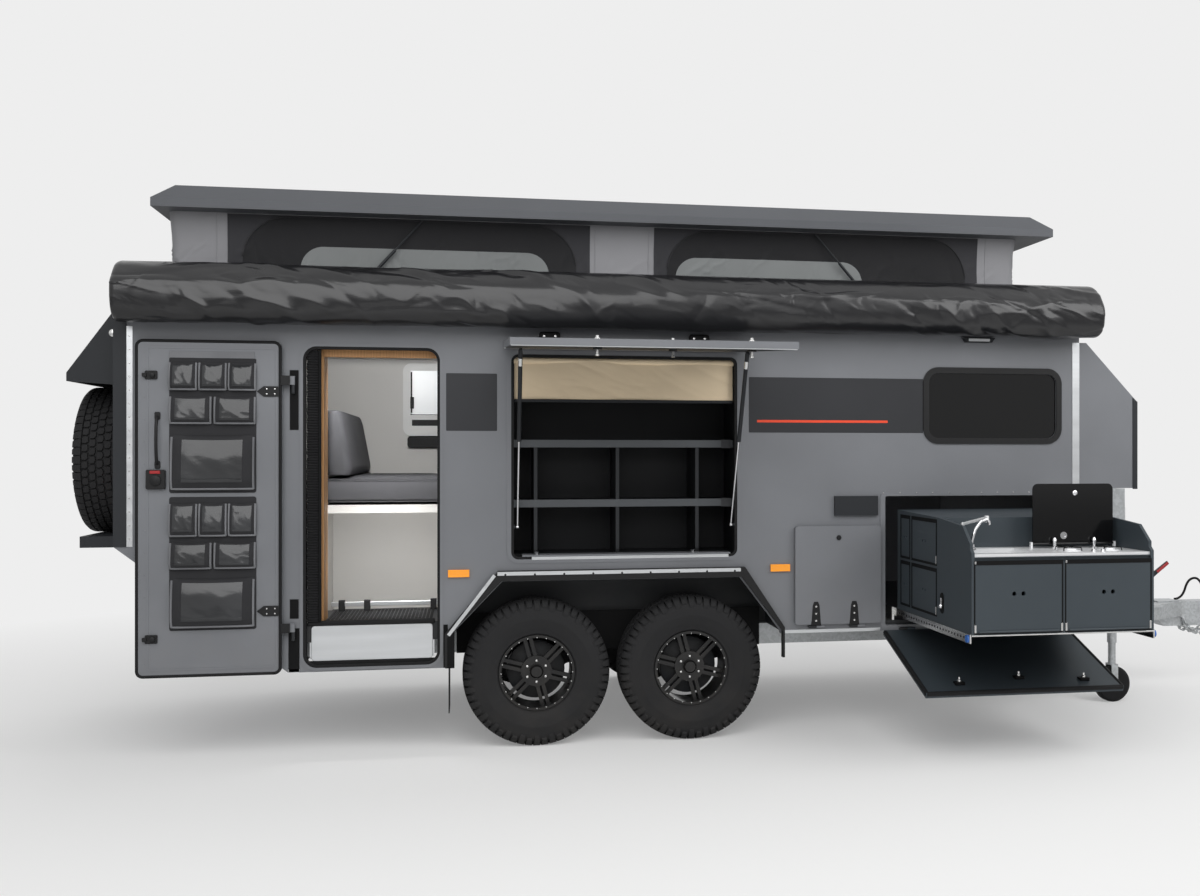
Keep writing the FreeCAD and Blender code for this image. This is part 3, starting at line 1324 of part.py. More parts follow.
doc.recompute()
for made in doc.Objects:
    if "Invalid" in made.State or "Error" in made.State:
        raise RuntimeError("{} did not build: {}".format(made.Label, made.State))
for made in NODES:
    if made.Shape.isNull() or not made.Shape.isValid() or not made.Shape.Solids:
        raise RuntimeError("{} is not a sound solid".format(made.Label))
    made.Shape.exportStep("parts/{}.step".format(made.Label))
print("pieces", len(NODES))
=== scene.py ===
"""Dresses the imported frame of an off-road pop-top camper trailer for its render.

Everything is in metres in the frame's own axes: X forward to the coupling, Y to
the left side, Z up, with the origin on the ground between the two axles.
"""

import logging
import math
from dataclasses import dataclass
from enum import Enum
from functools import lru_cache

import bmesh
import bpy
import numpy as np
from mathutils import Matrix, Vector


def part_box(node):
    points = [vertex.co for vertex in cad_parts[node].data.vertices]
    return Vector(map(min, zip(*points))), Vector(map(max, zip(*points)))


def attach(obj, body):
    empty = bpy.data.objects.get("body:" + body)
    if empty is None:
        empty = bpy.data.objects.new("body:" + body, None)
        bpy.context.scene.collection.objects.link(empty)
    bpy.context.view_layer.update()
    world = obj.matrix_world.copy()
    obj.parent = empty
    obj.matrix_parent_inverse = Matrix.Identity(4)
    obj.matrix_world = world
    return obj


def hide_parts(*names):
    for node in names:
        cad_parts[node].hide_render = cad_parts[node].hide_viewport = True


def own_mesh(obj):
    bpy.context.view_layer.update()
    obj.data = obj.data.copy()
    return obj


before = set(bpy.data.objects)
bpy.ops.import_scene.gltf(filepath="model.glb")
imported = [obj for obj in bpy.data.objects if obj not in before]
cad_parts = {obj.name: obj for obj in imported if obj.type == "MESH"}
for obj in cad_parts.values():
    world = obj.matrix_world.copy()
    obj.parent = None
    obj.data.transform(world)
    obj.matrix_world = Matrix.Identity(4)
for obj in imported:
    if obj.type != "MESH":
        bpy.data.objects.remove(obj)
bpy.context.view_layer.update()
LOG = logging.getLogger("camper")

RIGHT, LEFT = -1.0, 1.0
MIRRORED = ((RIGHT, "right"), (LEFT, "left"))
MERGE = 1e-5
Array = np.ndarray
Socket = bpy.types.NodeSocket
Flat = tuple[float, float]
Point = tuple[float, float, float]
Box = tuple[float, float, float, float]
Colour = tuple[float, float, float, float]


class Graph:
    """Short calls that add and join the nodes of one node tree."""

    def __init__(self, tree: bpy.types.NodeTree) -> None:
        """Keep the tree that the calls work on."""
        self.tree = tree

    def feed(self, socket: Socket, value: object) -> None:
        """Join a socket to another one, or give it a plain value."""
        if isinstance(value, bpy.types.NodeSocket):
            self.tree.links.new(value, socket)
        else:
            socket.default_value = value

    def node(self, kind: str, inputs: dict | None = None, **settings: object) -> bpy.types.Node:
        """Add a node.

        Args:
            kind: Blender's name for the node type.
            inputs: values or sockets by input name or number.
            settings: the node's own properties.

        Returns:
            The new node.
        """
        made = self.tree.nodes.new(kind)
        for key, value in settings.items():
            setattr(made, key, value)
        for key, value in (inputs or {}).items():
            self.feed(made.inputs[key], value)
        return made

    def math(self, operation: str, a: object, b: object = 0.5, clamp: bool = False) -> Socket:
        """Return the result of one arithmetic node."""
        return self.node("ShaderNodeMath", {0: a, 1: b}, operation=operation, use_clamp=clamp).outputs[0]

    def blend(self, factor: object, a: object, b: object) -> Socket:
        """Return colour a turned into colour b by the factor."""
        made = self.node("ShaderNodeMix", data_type="RGBA")
        for name, value in (("Factor_Float", factor), ("A_Color", a), ("B_Color", b)):
            self.feed(next(s for s in made.inputs if s.identifier == name), value)
        return next(s for s in made.outputs if s.identifier == "Result_Color")

    def span(self, value: object, low: float, high: float, to_low: float = 0.0, to_high: float = 1.0) -> Socket:
        """Return a value carried from one range to another, clamped."""
        return self.node("ShaderNodeMapRange", {
            "Value": value, "From Min": low, "From Max": high, "To Min": to_low, "To Max": to_high}).outputs[0]

    def noise(self, vector: Socket, scale: object, detail: float = 3.0) -> Socket:
        """Return the strength of a fractal noise."""
        return self.node("ShaderNodeTexNoise", {"Vector": vector, "Scale": scale, "Detail": detail}).outputs["Fac"]

    def stretched(self, vector: Socket, scale: Point) -> Socket:
        """Return a vector scaled along each axis."""
        return self.node("ShaderNodeMapping", {"Vector": vector, "Scale": scale}).outputs[0]


def blank(owner: bpy.types.Material | bpy.types.World) -> Graph:
    """Return the emptied node tree of a material or a world."""
    owner.use_nodes = True
    owner.node_tree.nodes.clear()
    return Graph(owner.node_tree)


class Pattern(Enum):
    """The surface patterns, each one shader node group."""

    PAINT = "sprayed paint"
    POWDER = "powder coat"
    BRUSHED = "brushed metal"
    SPANGLE = "zinc spangle"
    MOULDED = "moulded plastic"
    RUBBER = "rubber"
    HIDE = "leather grain"
    WEAVE = "plain weave"
    VINYL = "coated cloth"
    GRAINED = "wood grain"
    CLEAR = "clear lens"


def new_group(name: str, inputs: dict[str, float], outputs: tuple[str, ...]) -> tuple[Graph, bpy.types.Node,
                                                                                      bpy.types.Node]:
    """Make an empty shader node group with float sockets.

    Args:
        name: the group's name.
        inputs: default values by input name.
        outputs: the output names.

    Returns:
        Its graph, its input node and its output node.
    """
    tree = bpy.data.node_groups.new(name, "ShaderNodeTree")
    for key, value in inputs.items():
        tree.interface.new_socket(key, in_out="INPUT", socket_type="NodeSocketFloat").default_value = value
    for key in outputs:
        tree.interface.new_socket(key, in_out="OUTPUT", socket_type="NodeSocketFloat")
    graph = Graph(tree)
    return graph, graph.node("NodeGroupInput"), graph.node("NodeGroupOutput")


@lru_cache(maxsize=None)
def pattern_group(pattern: Pattern) -> bpy.types.NodeTree:
    """Build the node group of a surface pattern once.

    Its outputs are Height, from 0 to 1, for the bump, and Shade, from 0 to 1, for
    the slow change of colour and gloss over the surface.
    """
    graph, source, sink = new_group(pattern.value, {"Scale": 900.0}, ("Height", "Shade"))
    scale = source.outputs["Scale"]
    coords = graph.node("ShaderNodeTexCoord")
    here = coords.outputs["Object"]
    tone = graph.noise(here, 1.7, 5.0)
    height = graph.noise(here, scale, 2.0)
    if pattern is Pattern.BRUSHED:
        height = graph.noise(graph.stretched(here, (0.02, 1.0, 1.0)), scale, 2.0)
        tone = graph.noise(graph.stretched(here, (0.4, 6.0, 6.0)), 3.0, 4.0)
    elif pattern is Pattern.SPANGLE:
        cells = graph.node("ShaderNodeTexVoronoi", {"Vector": here, "Scale": scale})
        tint = graph.node("ShaderNodeSeparateColor", {"Color": cells.outputs["Color"]})
        tone = graph.math("ADD", graph.math("MULTIPLY", tint.outputs[0], 0.45), graph.math("MULTIPLY", tone, 0.55))
        height = cells.outputs["Distance"]
    elif pattern is Pattern.HIDE:
        cells = graph.node("ShaderNodeTexVoronoi", {"Vector": here, "Scale": scale}, feature="DISTANCE_TO_EDGE")
        height = graph.span(cells.outputs["Distance"], 0.0, 0.25)
    elif pattern is Pattern.WEAVE:
        flat = graph.node("ShaderNodeSeparateXYZ", {"Vector": coords.outputs["UV"]})
        turns = [graph.math("SINE", graph.math("MULTIPLY", flat.outputs[i], scale)) for i in (0, 1)]
        height = graph.span(graph.math("MULTIPLY", turns[0], turns[1]), -1.0, 1.0)
    elif pattern is Pattern.VINYL:
        waves = graph.noise(graph.stretched(here, (1.0, 1.0, 1.6)), 11.0, 3.0)
        height = graph.math("ADD", waves, graph.math("MULTIPLY", height, 0.05))
    elif pattern is Pattern.GRAINED:
        long = graph.stretched(here, (7.0, 7.0, 0.6))
        wave = graph.node("ShaderNodeTexWave", {"Vector": long, "Scale": 6.0, "Distortion": 5.0, "Detail": 3.0})
        tone, height = wave.outputs["Fac"], graph.noise(graph.stretched(here, (1.0, 1.0, 0.05)), scale, 2.0)
    elif pattern is Pattern.POWDER:
        height = graph.math("MULTIPLY", graph.noise(here, scale, 3.0), 1.6)
    graph.feed(sink.inputs["Height"], height)
    graph.feed(sink.inputs["Shade"], tone)
    return graph.tree


@lru_cache(maxsize=None)
def dust_group() -> bpy.types.NodeTree:
    """Build the road dust group: a mask that is strong near the ground and patchy."""
    graph, source, sink = new_group("road dust", {"Top": 1.0, "Amount": 0.3}, ("Mask",))
    here = graph.node("ShaderNodeTexCoord").outputs["Object"]
    height = graph.node("ShaderNodeSeparateXYZ", {"Vector": here}).outputs["Z"]
    low = graph.math("SUBTRACT", 1.0, graph.math("DIVIDE", height, source.outputs["Top"]), clamp=True)
    patches = graph.span(graph.noise(here, 9.0, 6.0), 0.35, 0.75)
    graph.feed(sink.inputs["Mask"], graph.math(
        "MULTIPLY", graph.math("MULTIPLY", low, patches), source.outputs["Amount"], clamp=True))
    return graph.tree


@lru_cache(maxsize=None)
def rub_group() -> bpy.types.NodeTree:
    """Build the rubbing group: thin patches where hands and loads polish a surface."""
    graph, source, sink = new_group("rubbed patches", {"Scale": 6.0, "Amount": 0.1}, ("Mask",))
    here = graph.node("ShaderNodeTexCoord").outputs["Object"]
    wide = graph.span(graph.noise(here, source.outputs["Scale"], 5.0), 0.55, 0.8)
    graph.feed(sink.inputs["Mask"], graph.math("MULTIPLY", wide, source.outputs["Amount"], clamp=True))
    return graph.tree


def shade(red: int, green: int, blue: int) -> Colour:
    """Return the linear colour of three display levels from 0 to 255."""
    level = np.array([red, green, blue]) / 255.0
    linear = np.where(level <= 0.04045, level / 12.92, ((level + 0.055) / 1.055) ** 2.4)
    return (*(float(c) for c in linear), 1.0)


@dataclass(frozen=True)
class Finish:
    """One finish of the camper and the material that shows it."""

    name: str
    slot: str
    colour: Colour
    pattern: Pattern
    roughness: float = 0.5
    metallic: float = 0.0
    coat: float = 0.0
    sheen: float = 0.0
    clear: float = 0.0
    glow: float = 0.0
    scale: float = 900.0
    depth: float = 0.0002
    variety: float = 0.08
    dust: float = 0.0
    dust_top: float = 1.1
    rub: float = 0.1
    specular: float = 0.5

    @lru_cache(maxsize=None)
    def material(self) -> bpy.types.Material:
        """Build the material: pattern, slow colour change, rubbed patches and dust."""
        made = bpy.data.materials.new(self.name)
        graph = blank(made)
        grain = graph.node("ShaderNodeGroup", node_tree=pattern_group(self.pattern))
        grain.inputs["Scale"].default_value = self.scale
        rub = graph.node("ShaderNodeGroup", node_tree=rub_group())
        rub.inputs["Amount"].default_value = self.rub
        dark = tuple(c * (1.0 - self.variety) for c in self.colour[:3]) + (1.0,)
        pale = tuple(min(1.0, c * (1.0 + self.variety)) for c in self.colour[:3]) + (1.0,)
        colour = graph.blend(graph.span(grain.outputs["Shade"], 0.3, 0.7), dark, pale)
        gloss = graph.span(grain.outputs["Shade"], 0.2, 0.8, self.roughness * 0.9, min(1.0, self.roughness * 1.12))
        gloss = graph.math("SUBTRACT", gloss, graph.math("MULTIPLY", rub.outputs["Mask"], self.roughness), clamp=True)
        if self.dust:
            dust = graph.node("ShaderNodeGroup", node_tree=dust_group())
            dust.inputs["Top"].default_value = self.dust_top
            dust.inputs["Amount"].default_value = self.dust
            colour = graph.blend(dust.outputs["Mask"], colour, ROAD_DUST)
            gloss = graph.math("ADD", gloss, graph.math("MULTIPLY", dust.outputs["Mask"], 0.4), clamp=True)
        bump = graph.node("ShaderNodeBump", {
            "Height": grain.outputs["Height"], "Distance": self.depth, "Strength": 0.7})
        shader = graph.node("ShaderNodeBsdfPrincipled", {
            "Base Color": colour, "Roughness": gloss, "Metallic": self.metallic, "Coat Weight": self.coat,
            "Coat Roughness": 0.12, "Sheen Weight": self.sheen, "Transmission Weight": self.clear,
            "Specular IOR Level": self.specular, "Normal": bump.outputs["Normal"]})
        # Emission: on the far window's pane this is painted daylight.
        if self.glow:
            graph.feed(shader.inputs["Emission Color"], colour)
            shader.inputs["Emission Strength"].default_value = self.glow
        graph.node("ShaderNodeOutputMaterial", {"Surface": shader.outputs[0]})
        return made


ROAD_DUST = shade(142, 132, 118)

BODY = Finish("body_paint_grey", "body_paint", shade(112, 114, 118), Pattern.PAINT, 0.44, coat=0.15, scale=420,
              depth=0.00012, dust=0.10, specular=0.35)
DARK = Finish("dark_paint_satin", "dark_paint", shade(38, 40, 43), Pattern.POWDER, 0.45, scale=1500, dust=0.12,
              specular=0.25)
ROOF = Finish("roof_paint_grey", "roof_paint", shade(80, 82, 86), Pattern.PAINT, 0.5, coat=0.05, scale=420,
              depth=0.0001, specular=0.25)
SLATE = Finish("kitchen_paint_slate", "kitchen_paint", shade(55, 62, 67), Pattern.POWDER, 0.46, scale=1600,
               depth=0.0001, specular=0.3)
# Painted shade: the inside of the storage bays is painted near black for the shade that fills them.
INNER = Finish("cabinet_painted_shade", "kitchen_paint", shade(24, 25, 27), Pattern.POWDER, 0.5, scale=1600,
               specular=0.15)
ZINC = Finish("zinc_dipped", "galvanised", shade(176, 179, 181), Pattern.SPANGLE, 0.42, metallic=0.65, scale=70,
              depth=0.0001, variety=0.12, dust=0.15)
ALLOY = Finish("aluminium_brushed", "aluminium", shade(200, 202, 204), Pattern.BRUSHED, 0.32, metallic=1.0,
               scale=1400, depth=0.00005)
STEEL = Finish("stainless_brushed", "steel", shade(205, 205, 204), Pattern.BRUSHED, 0.22, metallic=1.0, scale=1800,
               depth=0.00004)
CHROME = Finish("rod_chrome", "chrome", shade(214, 214, 216), Pattern.PAINT, 0.08, metallic=1.0, depth=0.00002)
RUBBER = Finish("seal_rubber", "rubber", shade(24, 24, 25), Pattern.RUBBER, 0.7, scale=1100, rub=0.2, specular=0.2)
TYRE = Finish("tyre_rubber", "tyre", shade(35, 35, 36), Pattern.RUBBER, 0.74, scale=700, depth=0.0004, dust=0.05,
              dust_top=0.5, specular=0.22)
RIM = Finish("rim_black", "black_alloy", shade(20, 20, 21), Pattern.PAINT, 0.34, metallic=0.3, coat=0.35, dust=0.06,
             specular=0.3)
PLASTIC = Finish("moulded_black", "plastic", shade(24, 24, 25), Pattern.MOULDED, 0.5, scale=1300, depth=0.00015,
                 specular=0.25)
GLASS = Finish("tinted_pane", "glass", shade(9, 9, 10), Pattern.CLEAR, 0.07, coat=0.3, clear=0.06, depth=0.0,
               specular=0.12)
CANVAS = Finish("canvas_pale", "canvas", shade(138, 138, 141), Pattern.WEAVE, 0.72, sheen=0.1, scale=2600,
                depth=0.0003, specular=0.2)
CANVAS_DARK = Finish("canvas_charcoal", "canvas", shade(52, 52, 55), Pattern.WEAVE, 0.62, sheen=0.1, scale=2600,
                     depth=0.0003, specular=0.15)
SCREEN = Finish("insect_screen", "canvas", shade(30, 30, 32), Pattern.WEAVE, 0.60, sheen=0.1, scale=3800,
                depth=0.0003, specular=0.15)
FLAP = Finish("screen_flap", "canvas", shade(122, 125, 125), Pattern.WEAVE, 0.6, sheen=0.1, scale=3800, depth=0.0003,
              specular=0.2)
BAG = Finish("bag_vinyl", "bag", shade(24, 24, 26), Pattern.VINYL, 0.30, coat=0.3, scale=1500, depth=0.0016,
             variety=0.14, specular=0.35)
POCKET = Finish("pocket_cloth", "pocket", shade(44, 44, 46), Pattern.WEAVE, 0.7, sheen=0.1, scale=3000, depth=0.0003,
                specular=0.15)
TAPE = Finish("pocket_binding", "pocket", shade(112, 113, 116), Pattern.WEAVE, 0.7, sheen=0.1, scale=1200,
              depth=0.0005, variety=0.3, specular=0.2)
FILM = Finish("pocket_film", "pocket", shade(44, 45, 47), Pattern.VINYL, 0.16, coat=0.35, scale=900, depth=0.002,
              variety=0.45, specular=0.3)
BLIND = Finish("blind_cloth", "blind", shade(238, 217, 184), Pattern.WEAVE, 0.8, sheen=0.2, scale=2400, depth=0.0003)
HIDE = Finish("cushion_hide", "cushion", shade(84, 84, 87), Pattern.HIDE, 0.62, scale=420, depth=0.0004, specular=0.2)
BOARD = Finish("lining_board", "white_board", shade(208, 206, 202), Pattern.MOULDED, 0.5, scale=500, depth=0.0001,
               variety=0.03)
OAK = Finish("oak_post", "", shade(176, 132, 88), Pattern.GRAINED, 0.5, scale=700, depth=0.0003, variety=0.22,
             specular=0.3)
AMBER = Finish("amber_lens", "amber", shade(240, 150, 25), Pattern.CLEAR, 0.18, coat=0.8, glow=0.12, scale=260,
               depth=0.0008)
RED_LENS = Finish("red_lens", "amber", shade(150, 16, 14), Pattern.CLEAR, 0.18, coat=0.8, scale=260, depth=0.0008)
BOTTLE = Finish("bottle_paint", "bottle", shade(196, 198, 200), Pattern.PAINT, 0.38, coat=0.2, scale=300, rub=0.3)
LID = Finish("lid_glass_black", "lid_glass", shade(9, 9, 10), Pattern.CLEAR, 0.10, coat=0.25, depth=0.0, specular=0.2)
FILM_DARK = Finish("side_film_dark", "dark_paint", shade(44, 45, 48), Pattern.PAINT, 0.38, coat=0.2, depth=0.00005,
                   specular=0.2)
FILM_RED = Finish("side_film_red", "dark_paint", shade(226, 74, 44), Pattern.PAINT, 0.35, coat=0.2, depth=0.00005,
                  specular=0.3)
GRIP = Finish("grip_red", "plastic", shade(150, 22, 26), Pattern.MOULDED, 0.45, scale=900)
ROLLER = Finish("roller_blue", "plastic", shade(40, 92, 165), Pattern.MOULDED, 0.45, scale=900)
BRASS = Finish("valve_brass", "chrome", shade(182, 150, 92), Pattern.BRUSHED, 0.3, metallic=1.0)
SHELF = Finish("shelf_edge_steel", "steel", shade(78, 81, 84), Pattern.POWDER, 0.45, scale=1500, specular=0.3)
# Partly painted reflection: the steel worktop gets a pale colour and little metal, so that it shows bright as though
# it reflected the pale surroundings.
WORKTOP = Finish("worktop_steel_painted_reflection", "steel", shade(226, 227, 228), Pattern.BRUSHED, 0.34, metallic=0.35, scale=1800,
                 depth=0.00004)
# Real black parts, and painted shade too: the gaps round the kitchen doors, the runners' holes and the plate between
# the tyres.
BLACKED = Finish("deep_black", "plastic", shade(13, 13, 14), Pattern.MOULDED, 0.6, scale=1300, specular=0.12)
FRAME_WHITE = Finish("window_frame_white", "white_board", shade(226, 226, 224), Pattern.MOULDED, 0.42, scale=900,
                     variety=0.03)
# Painted light: the far pane glows to stand for the daylight behind the window; it is no lamp.
PANE_PALE = Finish("far_pane_pale", "glass", shade(228, 231, 232), Pattern.CLEAR, 0.25, glow=0.25, variety=0.03)
LINEN = Finish("lining_grey", "plastic", shade(70, 71, 73), Pattern.MOULDED, 0.75, scale=700, specular=0.2)

PAINTWORK: dict[Finish, tuple[str, ...]] = {
    BODY: ("wall_right", "wall_left", "end_walls", "nose_box", "opening_frames", "door_panel", "hatch_panel",
           "access_hatch"),
    DARK: ("dark_trims", "floor", "rear_hood", "spare_carrier", "trailing_arms", "lift_arms", "strut_tubes",
           "handbrake_lever"),
    ROOF: ("pop_top_roof",),
    SLATE: ("kitchen_unit", "kitchen_door_rear", "kitchen_door_front", "drop_panel"),
    INNER: ("storage_cabinet",),
    ZINC: ("chassis", "coupling_head", "safety_chains", "jockey_tube", "jockey_leg", "front_locker"),
    ALLOY: ("metal_strips",),
    STEEL: ("runner_channels", "kitchen_runners"),
    WORKTOP: ("kitchen_sink_top",),
    CHROME: ("strut_rods",),
    RUBBER: ("opening_seals", "spring_units", "jockey_wheel"),
    RIM: ("spare_rims", "rim_rear_right", "rim_front_right", "rim_rear_left", "rim_front_left"),
    PLASTIC: ("fender_flares", "window_frames", "door_latches"),
    GLASS: ("window_glass",),
    BOTTLE: ("gas_bottles",),
    LID: ("stove_lid",),
    BOARD: ("cabin_panels",),
    AMBER: ("lamps",),
}


def dress_cad_nodes() -> None:
    """Give each carried-over CAD node its finish."""
    for finish, names in PAINTWORK.items():
        for name in names:
            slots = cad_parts[name].data.materials
            slots.clear()
            slots.append(finish.material())
    LOG.info("finishes: %d nodes", sum(len(names) for names in PAINTWORK.values()))


class Plane(Enum):
    """The plane that a flat outline lies in, with the order of its axes."""

    XY = (0, 1, 2)
    XZ = (0, 2, 1)
    YZ = (1, 2, 0)

    def place(self, flat: Array, height: Array | float) -> Array:
        """Return outline points (n, 2) set at a height along the plane's normal."""
        out = np.zeros((*flat.shape[:-1], 3))
        out[..., self.value[0]] = flat[..., 0]
        out[..., self.value[1]] = flat[..., 1]
        out[..., self.value[2]] = height
        return out


def rounded(a0: float, a1: float, b0: float, b1: float, radius: float, steps: int = 6) -> Array:
    """Return a rectangle with round corners: each corner's quarter circle in turn."""
    quarter = np.linspace(0.0, math.pi / 2, steps)
    corners = ((a1 - radius, b0 + radius, -0.5), (a1 - radius, b1 - radius, 0.0),
               (a0 + radius, b1 - radius, 0.5), (a0 + radius, b0 + radius, 1.0))
    return np.concatenate([
        np.stack([a + radius * np.cos(quarter + turn * math.pi), b + radius * np.sin(quarter + turn * math.pi)], 1)
        for a, b, turn in corners])


def corners(a0: float, a1: float, b0: float, b1: float) -> Array:
    """Return a rectangle's four corners, in the turning sense of its rounded form."""
    return np.array([(a0, b0), (a1, b0), (a1, b1), (a0, b1)])


def turns(count: int) -> Array:
    """Return the angles that share a full turn evenly."""
    return np.arange(count) * (2 * math.pi / count)


def spots(x: Array | float, y: Array | float, z: Array | float) -> Array:
    """Return points from their coordinates, each one number or an array."""
    return np.stack(np.broadcast_arrays(x, y, z), -1)


def put(name: str, data: bpy.types.ID) -> bpy.types.Object:
    """Make an object from its data and add it to the scene."""
    made = bpy.data.objects.new(name, data)
    bpy.context.scene.collection.objects.link(made)
    return made


def inset(outline: Array, distance: float) -> Array:
    """Move each corner inwards by the distance, along the mean of its edges' normals."""
    edge = np.roll(outline, -1, 0) - outline
    edge /= np.maximum(np.linalg.norm(edge, axis=1, keepdims=True), 1e-9)
    normal = np.stack([-edge[:, 1], edge[:, 0]], 1)
    before = np.roll(normal, 1, 0)
    share = 1.0 + np.sum(normal * before, 1, keepdims=True)
    return outline + distance * (normal + before) / np.maximum(share, 0.2)


def cloth_noise(u: Array, v: Array, seed: int) -> Array:
    """Return smooth noise from 0 to 1: a random lattice, eased between its points."""
    lattice = np.random.default_rng(seed).random((64, 64))
    iu, iv = np.floor(u).astype(int), np.floor(v).astype(int)
    fu, fv = u - iu, v - iv
    fu, fv = fu * fu * (3 - 2 * fu), fv * fv * (3 - 2 * fv)
    low = lattice[iu % 64, iv % 64] * (1 - fu) + lattice[(iu + 1) % 64, iv % 64] * fu
    high = lattice[iu % 64, (iv + 1) % 64] * (1 - fu) + lattice[(iu + 1) % 64, (iv + 1) % 64] * fu
    return low * (1 - fv) + high * fv


def folds(u: Array, v: Array, seed: int, slant: float = 0.5, layers: int = 3) -> Array:
    """Return creases from -0.5 to 0.5: layers of ridged noise, each finer and weaker."""
    total = np.zeros(np.broadcast(u, v).shape)
    for layer in range(layers):
        size = 2.1 ** layer
        ridge = 1.0 - np.abs(2.0 * cloth_noise((u + slant * v) * size, v * size, seed + layer) - 1.0)
        total += ridge ** 2 * 0.55 ** layer
    return total / sum(0.55 ** layer for layer in range(layers)) - 0.5


def creases(u: Array, v: Array, seed: int, count: int, box: Box, length: float,
            width: float, lean: float = 0.0, spread: float = 0.6) -> Array:
    """Return separate cloth creases, each a long narrow ridge that fades at its ends.

    A ridge is 1 - |d| raised to 1.6 across its line and a bell curve along it. Its
    place, length, width, height and lean are drawn from the seed.

    Args:
        u: place along the cloth.
        v: place up the cloth.
        seed: the random seed.
        count: how many creases.
        box: lowest and highest u, lowest and highest v of their middles.
        length: their usual half length.
        width: their usual half width.
        lean: their usual angle from upright, in radians.
        spread: how much that angle differs.

    Returns:
        The height over the cloth, about -1 to 1.
    """
    draw = np.random.default_rng(seed)
    total = np.zeros(np.broadcast(u, v).shape)
    for _ in range(count):
        mid_u, mid_v = draw.uniform(box[0], box[1]), draw.uniform(box[2], box[3])
        angle = lean + draw.normal(0.0, spread)
        long, wide = length * draw.uniform(0.5, 1.5), width * draw.uniform(0.6, 1.6)
        strong = draw.choice((-0.7, 1.0)) * draw.uniform(0.35, 1.0)
        across = (u - mid_u) * math.cos(angle) - (v - mid_v) * math.sin(angle)
        down = (u - mid_u) * math.sin(angle) + (v - mid_v) * math.cos(angle)
        wander = across + 0.25 * wide * np.sin(down / long * 4.0 + mid_u)
        ridge = np.clip(1.0 - np.abs(wander) / wide, 0.0, 1.0) ** 1.6
        total += strong * ridge * np.exp(-(down / long) ** 2)
    return total


